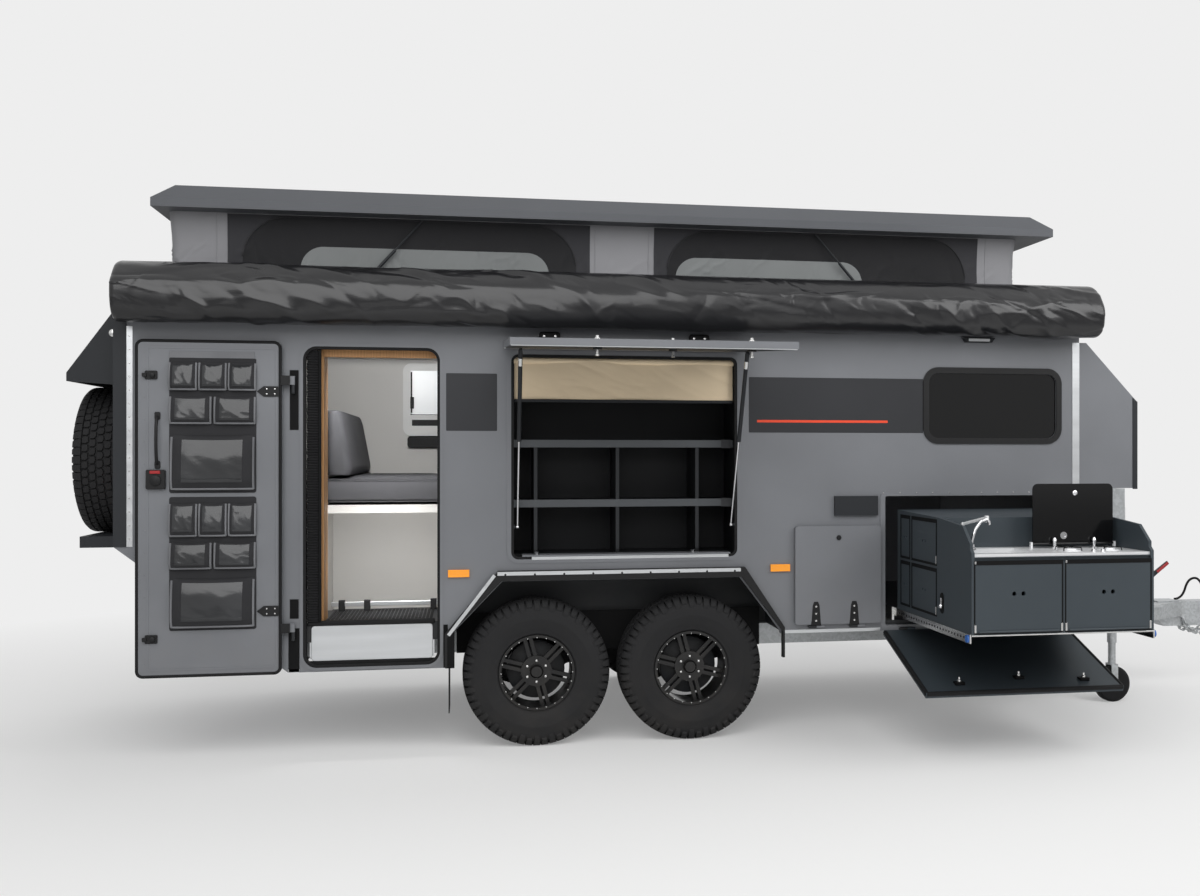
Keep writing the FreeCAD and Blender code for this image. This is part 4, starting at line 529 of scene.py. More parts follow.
class Shape:
    """Grows vertices and faces from whole arrays, then becomes one piece."""

    def __init__(self) -> None:
        """Start with nothing."""
        self.points: list[Array] = []
        self.quads: list[Array] = []
        self.caps: list[list[int]] = []
        self.uvs: list[Array] = []
        self.total = 0

    def _take(self, points: Array, uv: Array | None = None) -> Array:
        """Store points and return their numbers in the same layout."""
        flat = points.reshape(-1, 3)
        self.points.append(flat)
        self.uvs.append(np.zeros((len(flat), 2)) if uv is None else uv.reshape(-1, 2))
        numbers = np.arange(len(flat)).reshape(points.shape[:-1]) + self.total
        self.total += len(flat)
        return numbers

    def loft(self, rings: Array, caps: bool = True, uv: Array | None = None) -> "Shape":
        """Join rings of points into skins.

        Args:
            rings: points (k, n, 3), or (m, k, n, 3) for m skins at once.
            caps: close both ends with a flat face.
            uv: map coordinates in the same layout.

        Returns:
            This shape.
        """
        rings = rings if rings.ndim == 4 else rings[None]
        index = self._take(rings, uv)
        after = np.roll(index, -1, axis=2)
        self.quads.append(np.stack([index[:, :-1], after[:, :-1], after[:, 1:], index[:, 1:]], -1).reshape(-1, 4))
        if caps:
            self.caps += index[:, 0, ::-1].tolist() + index[:, -1].tolist()
        return self

    def sheet(self, points: Array, uv: Array | None = None) -> "Shape":
        """Join an open grid (..., k, n, 3) of points into a surface."""
        points = points if points.ndim == 4 else points[None]
        index = self._take(points, uv)
        self.quads.append(np.stack([
            index[:, :-1, :-1], index[:, :-1, 1:], index[:, 1:, 1:], index[:, 1:, :-1]], -1).reshape(-1, 4))
        return self

    def plate(self, outline: Array, plane: Plane, low: float, high: float, bevel: float = 0.0008) -> "Shape":
        """Raise an outline from low to high, with its edges chamfered."""
        small = inset(outline, bevel)
        rings = [(small, low), (outline, low + bevel), (outline, high - bevel), (small, high)]
        return self.loft(np.stack([plane.place(flat, height) for flat, height in rings]))

    def slab(self, low: Point, high: Point, bevel: float = 0.0012) -> "Shape":
        """Make a box between two corners, with its edges chamfered."""
        return self.plate(corners(low[0], high[0], low[2], high[2]), Plane.XZ, low[1], high[1], bevel)

    def tile(self, box: Box, radius: float, low: float, high: float, bevel: float, plane: Plane = Plane.XZ,
             steps: int = 6) -> "Shape":
        """Raise a rectangle with round corners, upright along X unless a plane is given."""
        return self.plate(rounded(*box, radius, steps), plane, low, high, bevel)

    def surround(self, outer: Array, inner: Array, plane: Plane, low: float, high: float) -> "Shape":
        """Make a flat ring between two outlines that have as many points each."""
        loops = ((outer, low), (outer, high), (inner, high), (inner, low), (outer, low))
        return self.loft(np.stack([plane.place(flat, height) for flat, height in loops]), caps=False)

    def lathe(self, profile: list[Flat], centres: Array, axis: int, way: float = 1.0, sides: int = 24) -> "Shape":
        """Turn a profile of (radius, height) about an axis through each centre.

        Args:
            profile: radius and height of each ring.
            centres: one point or many.
            axis: 0, 1 or 2 for X, Y or Z.
            way: 1 or -1, the sense of the height.
            sides: points round a ring.

        Returns:
            This shape.
        """
        centres = np.atleast_2d(np.asarray(centres, float))
        steps = np.asarray(profile, float)
        turn = turns(sides)
        ring = np.zeros((len(steps), sides, 3))
        first, second = [i for i in range(3) if i != axis]
        ring[..., first] = steps[:, :1] * np.cos(turn)
        ring[..., second] = steps[:, :1] * np.sin(turn)
        ring[..., axis] = way * steps[:, 1:]
        return self.loft(centres[:, None, None, :] + ring[None])

    def bolts(self, centres: Array, axis: int, way: float, radius: float = 0.005, height: float = 0.003,
              sides: int = 8) -> "Shape":
        """Set a low domed head at each centre."""
        dome = [(radius, -0.0005), (radius, height * 0.4), (radius * 0.75, height * 0.9), (radius * 0.3, height)]
        return self.lathe(dome, centres, axis, way, sides)

    def tube(self, path: Array, radius: float, normal: Point, sides: int = 10) -> "Shape":
        """Carry a circle along a path that lies roughly across the normal."""
        path = np.asarray(path, float)
        run = np.gradient(path, axis=0)
        run /= np.linalg.norm(run, axis=1, keepdims=True)
        side = np.cross(run, np.asarray(normal, float))
        side /= np.linalg.norm(side, axis=1, keepdims=True)
        up = np.cross(side, run)
        turn = turns(sides)
        ring = side[:, None] * np.cos(turn)[None, :, None] + up[:, None] * np.sin(turn)[None, :, None]
        return self.loft(path[:, None] + radius * ring)

    def cast(
        self, name: str, body: str, finish: Finish, replaces: tuple[str, ...] = (), closed: bool = True,
        smooth: float = 38.0,
    ) -> bpy.types.Object:
        """Make the piece, ride it on its body and give it its finish.

        Args:
            name: the piece's name.
            body: the CAD body that it moves with.
            finish: its finish.
            replaces: CAD nodes that it stands for.
            closed: whether its skins are closed, so that faces can be turned outwards.
            smooth: the angle in degrees under which edges are shaded smooth.

        Returns:
            The new object.
        """
        mesh = bpy.data.meshes.new(name)
        quads = np.concatenate(self.quads) if self.quads else np.zeros((0, 4), int)
        mesh.from_pydata(np.concatenate(self.points).tolist(), [], quads.tolist() + self.caps)
        layer = mesh.uv_layers.new(name="UVMap")
        corner = np.zeros(len(mesh.loops), np.int32)
        mesh.loops.foreach_get("vertex_index", corner)
        layer.data.foreach_set("uv", np.concatenate(self.uvs)[corner].astype(np.float32).ravel())
        if closed:
            work = bmesh.new()
            work.from_mesh(mesh)
            bmesh.ops.remove_doubles(work, verts=work.verts, dist=MERGE)
            bmesh.ops.recalc_face_normals(work, faces=work.faces)
            work.to_mesh(mesh)
            work.free()
        mesh.polygons.foreach_set("use_smooth", np.ones(len(mesh.polygons), bool))
        mesh.set_sharp_from_angle(angle=math.radians(smooth))
        mesh.materials.append(finish.material())
        made = put(name, mesh)
        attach(made, body)
        if replaces:
            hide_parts(*replaces)
        LOG.info("%s: %d faces", name, len(mesh.polygons))
        return made


def grid_of(u: Array, v: Array) -> tuple[Array, Array]:
    """Return two arrays (len(v), len(u)) of every pair of u and v."""
    return np.meshgrid(u, v)


@dataclass
class Studio:
    """The pale floor, the soft lights and the photograph's camera."""

    eye: Point = (-0.786, -8.05, 1.60)
    yaw: float = 10.96
    lens: float = 38.1
    shift: Flat = (-0.0967, 0.0042)
    floor_half: float = 40.0
    fade: Flat = (3.0, 7.0)
    lift: float = 0.25
    daylight: float = 0.56
    backdrop: Colour = shade(238, 238, 238)
    lamps: tuple[tuple[Point, Point, float, float], ...] = (
        ((-1.5, -7.5, 6.2), (0.0, 0.0, 1.2), 7.0, 430.0), ((5.0, -5.0, 5.0), (0.0, 0.0, 1.2), 4.0, 180.0),
        ((0.5, 6.5, 6.5), (0.0, 0.0, 1.2), 8.0, 300.0), ((-1.25, -0.80, 2.27), (-1.15, 1.06, 1.35), 0.4, 15.0),
        ((-1.25, -0.93, 1.02), (-1.25, 0.0, 0.98), 0.3, 3.0))

    def floor_material(self) -> bpy.types.Material:
        """Return a plain pale floor that keeps the shadow, and turns into the backdrop further out."""
        made = bpy.data.materials.new("studio_floor")
        graph = blank(made)
        here = graph.node("ShaderNodeTexCoord").outputs["Object"]
        away = graph.node("ShaderNodeVectorMath", {0: here}, operation="LENGTH").outputs["Value"]
        seen = graph.node("ShaderNodeLightPath").outputs["Is Camera Ray"]
        far = graph.math("MULTIPLY", graph.span(away, *self.fade, self.lift, 1.0), seen)
        shader = graph.node("ShaderNodeBsdfPrincipled", {"Base Color": shade(244, 244, 243), "Roughness": 0.9})
        plain = graph.node("ShaderNodeEmission", {"Color": self.backdrop, "Strength": 1.0})
        both = graph.node("ShaderNodeMixShader", {0: far, 1: shader.outputs[0], 2: plain.outputs[0]})
        graph.node("ShaderNodeOutputMaterial", {"Surface": both.outputs[0]})
        return made

    def world(self) -> bpy.types.World:
        """Return a world that lights plainly and shows the pale backdrop to the camera."""
        made = bpy.data.worlds.new("studio")
        graph = blank(made)
        path = graph.node("ShaderNodeLightPath")
        seen = graph.math("MAXIMUM", path.outputs["Is Camera Ray"], graph.math(
            "MAXIMUM", path.outputs["Is Glossy Ray"], path.outputs["Is Transmission Ray"]), clamp=True)
        plain = graph.node("ShaderNodeBackground", {"Color": shade(208, 208, 209), "Strength": self.daylight})
        pale = graph.node("ShaderNodeBackground", {"Color": self.backdrop, "Strength": 1.0})
        both = graph.node("ShaderNodeMixShader", {0: seen, 1: plain.outputs[0], 2: pale.outputs[0]})
        graph.node("ShaderNodeOutputWorld", {"Surface": both.outputs[0]})
        return made

    def build(self) -> None:
        """Make the floor, the lights, the world and the camera."""
        scene = bpy.context.scene
        scene.view_settings.view_transform = "Standard"
        scene.world = self.world()
        mesh = bpy.data.meshes.new("studio_floor")
        h = self.floor_half
        mesh.from_pydata([(-h, -h, 0), (h, -h, 0), (h, h, 0), (-h, h, 0)], [], [(0, 1, 2, 3)])
        mesh.materials.append(self.floor_material())
        put("studio_floor", mesh)
        for number, (place, aim, size, power) in enumerate(self.lamps):
            lamp = bpy.data.lights.new(f"soft_light_{number}", "AREA")
            lamp.size, lamp.energy = size, power
            holder = put(lamp.name, lamp)
            holder.location = place
            toward = np.array(aim) - np.array(place)
            tilt = math.atan2(math.hypot(toward[0], toward[1]), -toward[2])
            holder.rotation_euler = (tilt, 0.0, math.atan2(toward[1], toward[0]) - math.pi / 2)
        camera = bpy.data.cameras.new("photo_camera")
        camera.lens, camera.sensor_width = self.lens, 36.0
        camera.shift_x, camera.shift_y = self.shift
        holder = put("photo_camera", camera)
        holder.location = self.eye
        holder.rotation_euler = (math.pi / 2, 0.0, -math.radians(self.yaw))
        scene.camera = holder


@dataclass
class Tyres:
    """The four road tyres and the two spares, with an all-terrain tread."""

    radius: float = 0.400
    pitches: int = 56
    wheels: tuple[tuple[str, float, float], ...] = (
        ("rear_right", -0.4275, RIGHT), ("front_right", 0.4275, RIGHT), ("rear_left", -0.4275, LEFT), ("front_left",
                                                                                                       0.4275, LEFT))
    track: float = 0.9475
    spare_half: float = 0.480
    crown_drop: float = 0.0022
    crown_half: float = 0.09
    profile: tuple[Flat, ...] = (
        (0.2075, 0.106), (0.2170, 0.1160), (0.2230, 0.1165), (0.2350, 0.1215), (0.2600, 0.1275), (0.2900, 0.1310),
        (0.2960, 0.1322), (0.3000, 0.1312), (0.3300, 0.1300), (0.3500, 0.1255), (0.3700, 0.1150), (0.3830, 0.1000),
        (0.3870, 0.0800), (0.3885, 0.0400))
    centre_block: tuple[Flat, ...] = (
        (-0.42, 0.005), (0.10, 0.003), (0.40, 0.010), (0.43, 0.031), (0.05, 0.036), (-0.38, 0.029))
    middle_block: tuple[Flat, ...] = (
        (-0.40, 0.042), (0.22, 0.040), (0.43, 0.052), (0.36, 0.071), (-0.20, 0.072), (-0.44, 0.060))
    lug: tuple[Flat, ...] = (
        (0.3995, 0.077), (0.3985, 0.095), (0.3935, 0.108), (0.3820, 0.1195), (0.3650, 0.1265), (0.3480, 0.1305))

    def around(self, polar: Array) -> Array:
        """Turn (angle, radius, y) into points about the axle."""
        angle, radius, y = polar[..., 0], polar[..., 1], polar[..., 2]
        return np.stack([radius * np.sin(angle), y, radius * np.cos(angle)], -1)

    def crown(self, y: Array) -> Array:
        """Return the tread's radius at y: a flat parabola."""
        return self.radius - self.crown_drop * (y / self.crown_half) ** 2

    def blocks(self, flat: tuple[Flat, ...], side: float, offset: float) -> Array:
        """Return the rings of one row of blocks: foot, chamfer and top, all round the tyre."""
        pitch = 2 * math.pi / self.pitches
        base = np.array(flat)
        centre = base.mean(0)
        rings = []
        for shrink, drop in ((1.04, 0.0125), (1.0, 0.0015), (0.93, 0.0)):
            spread = centre + (base - centre) * shrink
            angle = (np.arange(self.pitches)[:, None] + offset + spread[None, :, 0] * side) * pitch
            y = np.broadcast_to(spread[:, 1] * side, angle.shape)
            rings.append(np.stack([angle, self.crown(y) - drop, y], -1))
        return self.around(np.stack(rings, 1))

    def lugs(self, side: float, offset: float, reach: int) -> Array:
        """Return the rings of the shoulder lugs, which bend down the sidewall.

        A lug is a bar of four-cornered rings: two corners on its outer face and two
        below it in the tyre, with a width that narrows towards the sidewall.
        """
        pitch = 2 * math.pi / self.pitches * 2
        line = np.array(self.lug[:reach])
        width = np.linspace(0.30, 0.20, reach) * pitch
        middle = (np.arange(self.pitches // 2)[:, None] + offset) * pitch
        rings = []
        for sign, sink in ((-1, 0.0), (1, 0.0), (1, 0.012), (-1, 0.012)):
            angle = middle + sign * width[None] * 0.78
            radius = np.broadcast_to(line[:, 0] - sink, angle.shape)
            y = np.broadcast_to((line[:, 1] - sink * 0.3) * side, angle.shape)
            rings.append(np.stack([angle, radius, y], -1))
        return self.around(np.stack(rings, 2))

    def shape(self) -> list[tuple[Array, bool]]:
        """Return the loose skins of one tyre about its own centre, each with its caps choice."""
        turn = np.linspace(0, 2 * math.pi, 96, endpoint=False)
        half = np.array(self.profile)
        whole = np.concatenate([half, half[::-1] * (1, -1)])
        whole = np.concatenate([whole, [(0.2075, -0.09), (0.2075, 0.09)]])
        polar = np.zeros((len(turn), len(whole), 3))
        polar[..., 0], polar[..., 1], polar[..., 2] = turn[:, None], whole[:, 0], whole[:, 1]
        body = self.around(np.concatenate([polar, polar[:1]]))
        skins = [(body[None], False)]
        for side in (RIGHT, LEFT):
            skins += [(self.blocks(self.centre_block, side, 0.25 + 0.25 * side), True),
                      (self.blocks(self.middle_block, side, 0.10 - 0.3 * side), True),
                      (self.lugs(side, 0.0, 6), True), (self.lugs(side, 0.5, 5), True)]
        return skins

    def build(self) -> None:
        """Make the six tyres in place of the CAD ones."""
        skins = self.shape()
        for name, x, side in self.wheels:
            tyre = Shape()
            for points, caps in skins:
                tyre.loft(points + np.array([x, side * self.track, self.radius]), caps)
            tyre.cast(f"tread_tyre_{name}", f"wheel_{name}", TYRE, (f"tyre_{name}",))
        low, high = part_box("spare_tyres")
        middle = (low + high) / 2
        spare = Shape()
        for side in (RIGHT, LEFT):
            centre = np.array([middle.x, side * self.spare_half, middle.z])
            for points, caps in skins:
                spare.loft(points[..., [1, 0, 2]] + centre, caps)
        spare.cast("tread_spare_tyres", "trailer", TYRE, ("spare_tyres",))


@dataclass
class RimFittings:
    """Bolts, caps and brake drums of the black rims."""

    bolt_ring: float = 0.1935
    bolt_count: int = 24
    nut_ring: float = 0.058
    hub_face: float = 0.0500
    cap: tuple[Flat, ...] = ((0.037, -0.004), (0.037, 0.020), (0.029, 0.030), (0.0, 0.031))
    drum: tuple[Flat, ...] = (
        (0.03, -0.02), (0.155, -0.02), (0.160, 0.0), (0.160, 0.055), (0.150, 0.06), (0.03, 0.06))

    def ring(self, radius: float, count: int, depth: float) -> Array:
        """Return points round the axle at one depth along it."""
        turn = turns(count)
        return spots(radius * np.sin(turn), depth, radius * np.cos(turn))

    def build(self) -> None:
        """Make the fittings of each road wheel."""
        tyres = Tyres()
        for name, x, side in tyres.wheels:
            low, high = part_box(f"rim_{name}")
            face = (low.y if side < 0 else high.y) - side * tyres.track
            centre = np.array([x, side * tyres.track, tyres.radius])
            hub = side * self.hub_face
            bolts = self.ring(self.bolt_ring, self.bolt_count, face - side * 0.001) + centre
            nuts = self.ring(self.nut_ring, 6, hub) + centre
            rows = (
                ("rim_bolts", STEEL, Shape().bolts(bolts, 1, side, 0.0042, 0.004, 6)),
                ("wheel_nuts", STEEL, Shape().bolts(nuts, 1, side, 0.0085, 0.013, 6)),
                ("hub_cap", RIM, Shape().lathe(self.cap, centre + (0.0, hub, 0.0), 1, side, 24)),
                ("brake_drum", DARK, Shape().lathe(self.drum, centre - (0.0, side * 0.08, 0.0), 1, side, 40)))
            for kind, finish, made in rows:
                made.cast(f"{kind}_{name}", f"wheel_{name}", finish)


@dataclass
class AwningBag:
    """The rolled awning in its black vinyl bag along the right side of the roof."""

    rear: float = -2.544
    front: float = 2.794
    along: int = 640
    section: tuple[Point, ...] = (
        (-1.146, 2.560, 0.0), (-1.180, 2.572, 0.2), (-1.232, 2.552, 0.8), (-1.292, 2.500, 1.2), (-1.326, 2.452, 1.7),
        (-1.334, 2.380, 0.9), (-1.318, 2.312, 0.8), (-1.272, 2.270, 1.0), (-1.205, 2.262, 0.7), (-1.155, 2.300, 0.2),
        (-1.145, 2.420, 0.0))
    steps: int = 8
    drift: float = 0.030
    gather: float = 0.30
    slack_height: float = 0.0115
    fine_height: float = 0.0040
    drawn_height: float = 0.011
    push_limits: Flat = (-0.020, 0.009)

    def rings(self, x: Array) -> Array:
        """Return the bag's outline (y, z) at each x.

        It is a closed Catmull-Rom curve through the section's points. Each point drifts
        up and down along the bag, most at the crease between the upper and lower face.
        """
        base = np.array(self.section)
        number = np.arange(len(base))[None]
        drift = cloth_noise(x[:, None] * 1.15 + number * 0.22 + 3.0, number * 0.35, 3) - 0.5
        drift += 0.35 * (cloth_noise(x[:, None] * 4.2 + number * 0.3, number * 0.5, 4) - 0.5)
        lift = self.drift * drift * base[:, 2]
        points = np.stack([base[:, 0] + 0.3 * lift, base[:, 1] + lift], -1)
        t = np.linspace(0, 1, self.steps, endpoint=False)[:, None]
        p0, p1, p2, p3 = (np.roll(points, k, 1)[:, :, None] for k in (1, 0, -1, -2))
        curve = 0.5 * (2 * p1 + (p2 - p0) * t + (2 * p0 - 5 * p1 + 4 * p2 - p3) * t ** 2
                       + (3 * p1 - p0 - 3 * p2 + p3) * t ** 3)
        return curve.reshape(len(x), -1, 2)

    def push(self, x: Array, turn: Array) -> Array:
        """Return how far the skin stands in or out, within limits: slack folds, drawn tighter near the ends."""
        ends = np.minimum(x - self.rear, self.front - x)
        wide = creases(x, turn * 1.1, 11, 76, (self.rear, self.front, 0.08, 0.85), 0.22, 0.050, 1.0, 0.45)
        fine = creases(x, turn * 1.1, 12, 150, (self.rear, self.front, 0.10, 0.60), 0.07, 0.020, 0.8, 0.7)
        drawn = creases(x, turn * 1.1, 13, 60, (self.rear, self.front, 0.05, 0.90), 0.13, 0.022, 1.35, 0.3)
        drawn *= np.exp(-(ends / self.gather) ** 2)
        height = self.slack_height * wide + self.fine_height * fine + self.drawn_height * drawn
        return np.clip(height, *self.push_limits)

    def build(self) -> None:
        """Make the bag: its outline carried along the roof, folded, and closed at its ends."""
        x = np.linspace(self.rear + 0.03, self.front - 0.03, self.along)
        ring = self.rings(x)
        count = ring.shape[1]
        turn = np.linspace(0, 1, count, endpoint=False)[None]
        run = np.roll(ring, -1, 1) - np.roll(ring, 1, 1)
        outward = np.stack([run[..., 1], -run[..., 0]], -1)
        outward /= np.linalg.norm(outward, axis=-1, keepdims=True)
        outward *= -np.sign((outward * (ring.mean(1, keepdims=True) - ring)).sum(-1).mean())
        free = np.clip(np.sin(math.pi * np.clip((turn - 0.04) / 0.84, 0, 1)) * 3.0, 0, 1)
        ring = ring + outward * (self.push(x[:, None], turn) * free)[..., None]
        body = np.concatenate([np.broadcast_to(x[:, None, None], (*ring.shape[:2], 1)), ring], -1)
        caps = []
        for end, way in ((0, -1.0), (-1, 1.0)):
            rim = body[end]
            heart = rim.mean(0) + np.array([0.0, 0.0, 0.02])
            steps = [(0.985, 0.012), (0.93, 0.022), (0.78, 0.026), (0.45, 0.024), (0.05, 0.021)]
            caps.append([heart + (rim - heart) * s + np.array([way * d, 0, 0]) for s, d in steps])
        whole = np.concatenate([np.stack(caps[0][::-1]), body, np.stack(caps[1])])
        bag = Shape().loft(whole).cast("awning_bag_vinyl", "trailer", BAG, ("awning_bag",), smooth=80)


@dataclass
class PopTop:
    """The cloth walls of the raised roof, with their screens, flaps and stays."""

    rear: float = -2.352
    front: float = 2.425
    half: float = 0.980
    low: float = 2.440
    high: float = 2.870
    corner: float = 0.07
    screens: tuple[Flat, ...] = ((-2.045, -0.130), (0.230, 2.160))
    arch_in: float = 0.075
    arch_round: float = 0.24
    flap_top: float = 2.705
    flaps: tuple[Flat, ...] = ((-1.675, -0.357), (0.352, 1.450))
    stays: tuple[Flat, ...] = ((-1.036, -1.404), (1.159, 1.523))
    stay_y: float = 0.990
    stay_heights: Flat = (2.862, 2.446)
    seams: tuple[float, ...] = (-0.100, 0.200, -2.10, 2.21)
    hang: float = 0.008
    bow_depth: float = 0.012
    soft_depth: float = 0.010
    sharp_height: float = 0.0065
    pulled_height: float = 0.011

    def sag(self, x: Array, y: Array, z: Array) -> Array:
        """Return how far the cloth hangs inwards: a bow between its edges with leaning creases.

        The creases follow x + 2 y, which runs on round the corners.
        """
        t = np.clip((z - self.low) / (self.high - self.low), 0, 1)
        along = x + 2.0 * y
        bow = np.sin(math.pi * t)
        soft = cloth_noise(along * 1.7 + 9.0, t * 1.4, 31) + 0.4 * cloth_noise(along * 6.0, t * 3.0, 32)
        box = (-4.6, 4.6, self.low + 0.05, self.low + 0.30)
        sharp = creases(along, z, 33, 150, box, 0.085, 0.022, 0.35, 0.5)
        near = np.exp(-((np.minimum(x - self.rear, self.front - x) - 0.02) / 0.22) ** 2)
        pulled = creases(along, z, 34, 90, box, 0.11, 0.020, 0.75, 0.35) * near
        ridges = (self.sharp_height * sharp + self.pulled_height * pulled) * bow ** 0.5
        return self.hang + self.bow_depth * bow + self.soft_depth * bow * (1.2 - soft) - ridges

    def walls(self) -> None:
        """Make the cloth: the roof's outline carried up, hung inwards by its sag."""
        outline = rounded(self.rear, self.front, -self.half, self.half, self.corner, 10)
        closed = np.concatenate([outline, outline[:1]])
        length = np.concatenate([[0], np.cumsum(np.linalg.norm(np.diff(closed, axis=0), axis=1))])
        along = np.linspace(0, length[-1], 1500)
        flat = np.stack([np.interp(along, length, closed[:, i]) for i in (0, 1)], 1)
        tangent = np.gradient(flat, axis=0)
        tangent /= np.linalg.norm(tangent, axis=1, keepdims=True)
        inward = np.stack([-tangent[:, 1], tangent[:, 0]], 1)
        z = np.linspace(self.low, self.high, 44)
        s, height = grid_of(along, z)
        depth = self.sag(flat[None, :, 0], flat[None, :, 1], height)
        points = np.concatenate([flat[None] + inward[None] * depth[..., None], height[..., None]], -1)
        uv = np.stack([s, height], -1)
        cloth = Shape().sheet(points, uv).cast("roof_canvas", "roof", CANVAS, ("canvas",), closed=False, smooth=70)
        self.fold(cloth)

    def fold(self, piece: bpy.types.Object) -> None:
        """Give a piece its own copy of its mesh data."""
        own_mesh(piece)

    def on_wall(self, side: float, x: Array, z: Array, proud: float) -> Array:
        """Return points on a side wall of the cloth, a little proud of it."""
        return spots(x, side * (self.half - self.sag(x, side * self.half, z) + proud), z)

    def panel(self, name: str, side: float, ends: Flat, top: Array, finish: Finish, proud: float) -> None:
        """Make a cloth panel whose top edge follows a line over the given ends."""
        x = np.linspace(*ends, len(top))
        t = np.linspace(0, 1, 40)[:, None]
        z = self.low + 0.01 + (top[None] - self.low - 0.01) * t
        points = self.on_wall(side, np.broadcast_to(x, z.shape), z, proud)
        uv = np.stack([np.broadcast_to(x, z.shape), z], -1)
        cloth = Shape().sheet(points, uv).cast(name, "roof", finish, closed=False, smooth=70)
        self.fold(cloth)

    def arch(self, ends: Flat, top: float, radius: float, count: int = 200) -> tuple[Array, Array]:
        """Return x and the height of an arch: flat, with quarter rounds at both ends."""
        x = np.linspace(ends[0] + 0.002, ends[1] - 0.002, count)
        near = np.minimum(x - ends[0], ends[1] - x)
        fall = np.where(near < radius, radius - np.sqrt(np.maximum(radius ** 2 - (radius - near) ** 2, 0.0)), 0.0)
        return x, top - fall

    def build(self) -> None:
        """Make the walls, the dark window panels, their piped arches and the stays."""
        self.walls()
        for side, tag in MIRRORED:
            for number, ends in enumerate(self.screens):
                spot = f"{tag}_{number}"
                flat_top = np.full(220, self.high - 0.004)
                self.panel(f"window_panel_{spot}", side, ends, flat_top, CANVAS_DARK, 0.0030)
                inner = (ends[0] + self.arch_in, ends[1] - self.arch_in)
                x, top = self.arch(inner, self.high - 0.012, self.arch_round)
                self.panel(f"screen_{spot}", side, (float(x[0]), float(x[-1])), top, SCREEN, 0.0060)
                pipe = self.on_wall(side, x, top, 0.0070)
                piping = Shape().tube(pipe, 0.004, (0.0, 1.0, 0.0), 6).cast(f"screen_piping_{spot}", "roof", POCKET)
                self.fold(piping)
                x, top = self.arch(self.flaps[number], self.flap_top, 0.12)
                self.panel(f"screen_flap_{spot}", side, (float(x[0]), float(x[-1])), top, FLAP, 0.0095)
        stays = Shape()
        for side in (RIGHT, LEFT):
            for top, foot in self.stays:
                ends = spots((top, foot), side * self.stay_y, self.stay_heights)
                line = ends[0] + (ends[1] - ends[0]) * np.linspace(0, 1, 5)[:, None]
                stays.tube(line, 0.0045, (0.0, 1.0, 0.0), 8)
                stays.tube(line[2:] + (line[2] - line[3]) * 0.4, 0.0085, (0.0, 1.0, 0.0), 10)
        self.fold(stays.cast("roof_stays", "roof", DARK, ("lift_arms",)))
        seam = Shape()
        for side in (RIGHT, LEFT):
            for x in self.seams:
                z = np.linspace(self.low + 0.01, self.high - 0.004, 16)
                seam.tube(self.on_wall(side, np.full(16, x), z, 0.001), 0.0022, (1.0, 0.0, 0.0), 6)
        self.fold(seam.cast("canvas_seams", "roof", CANVAS))


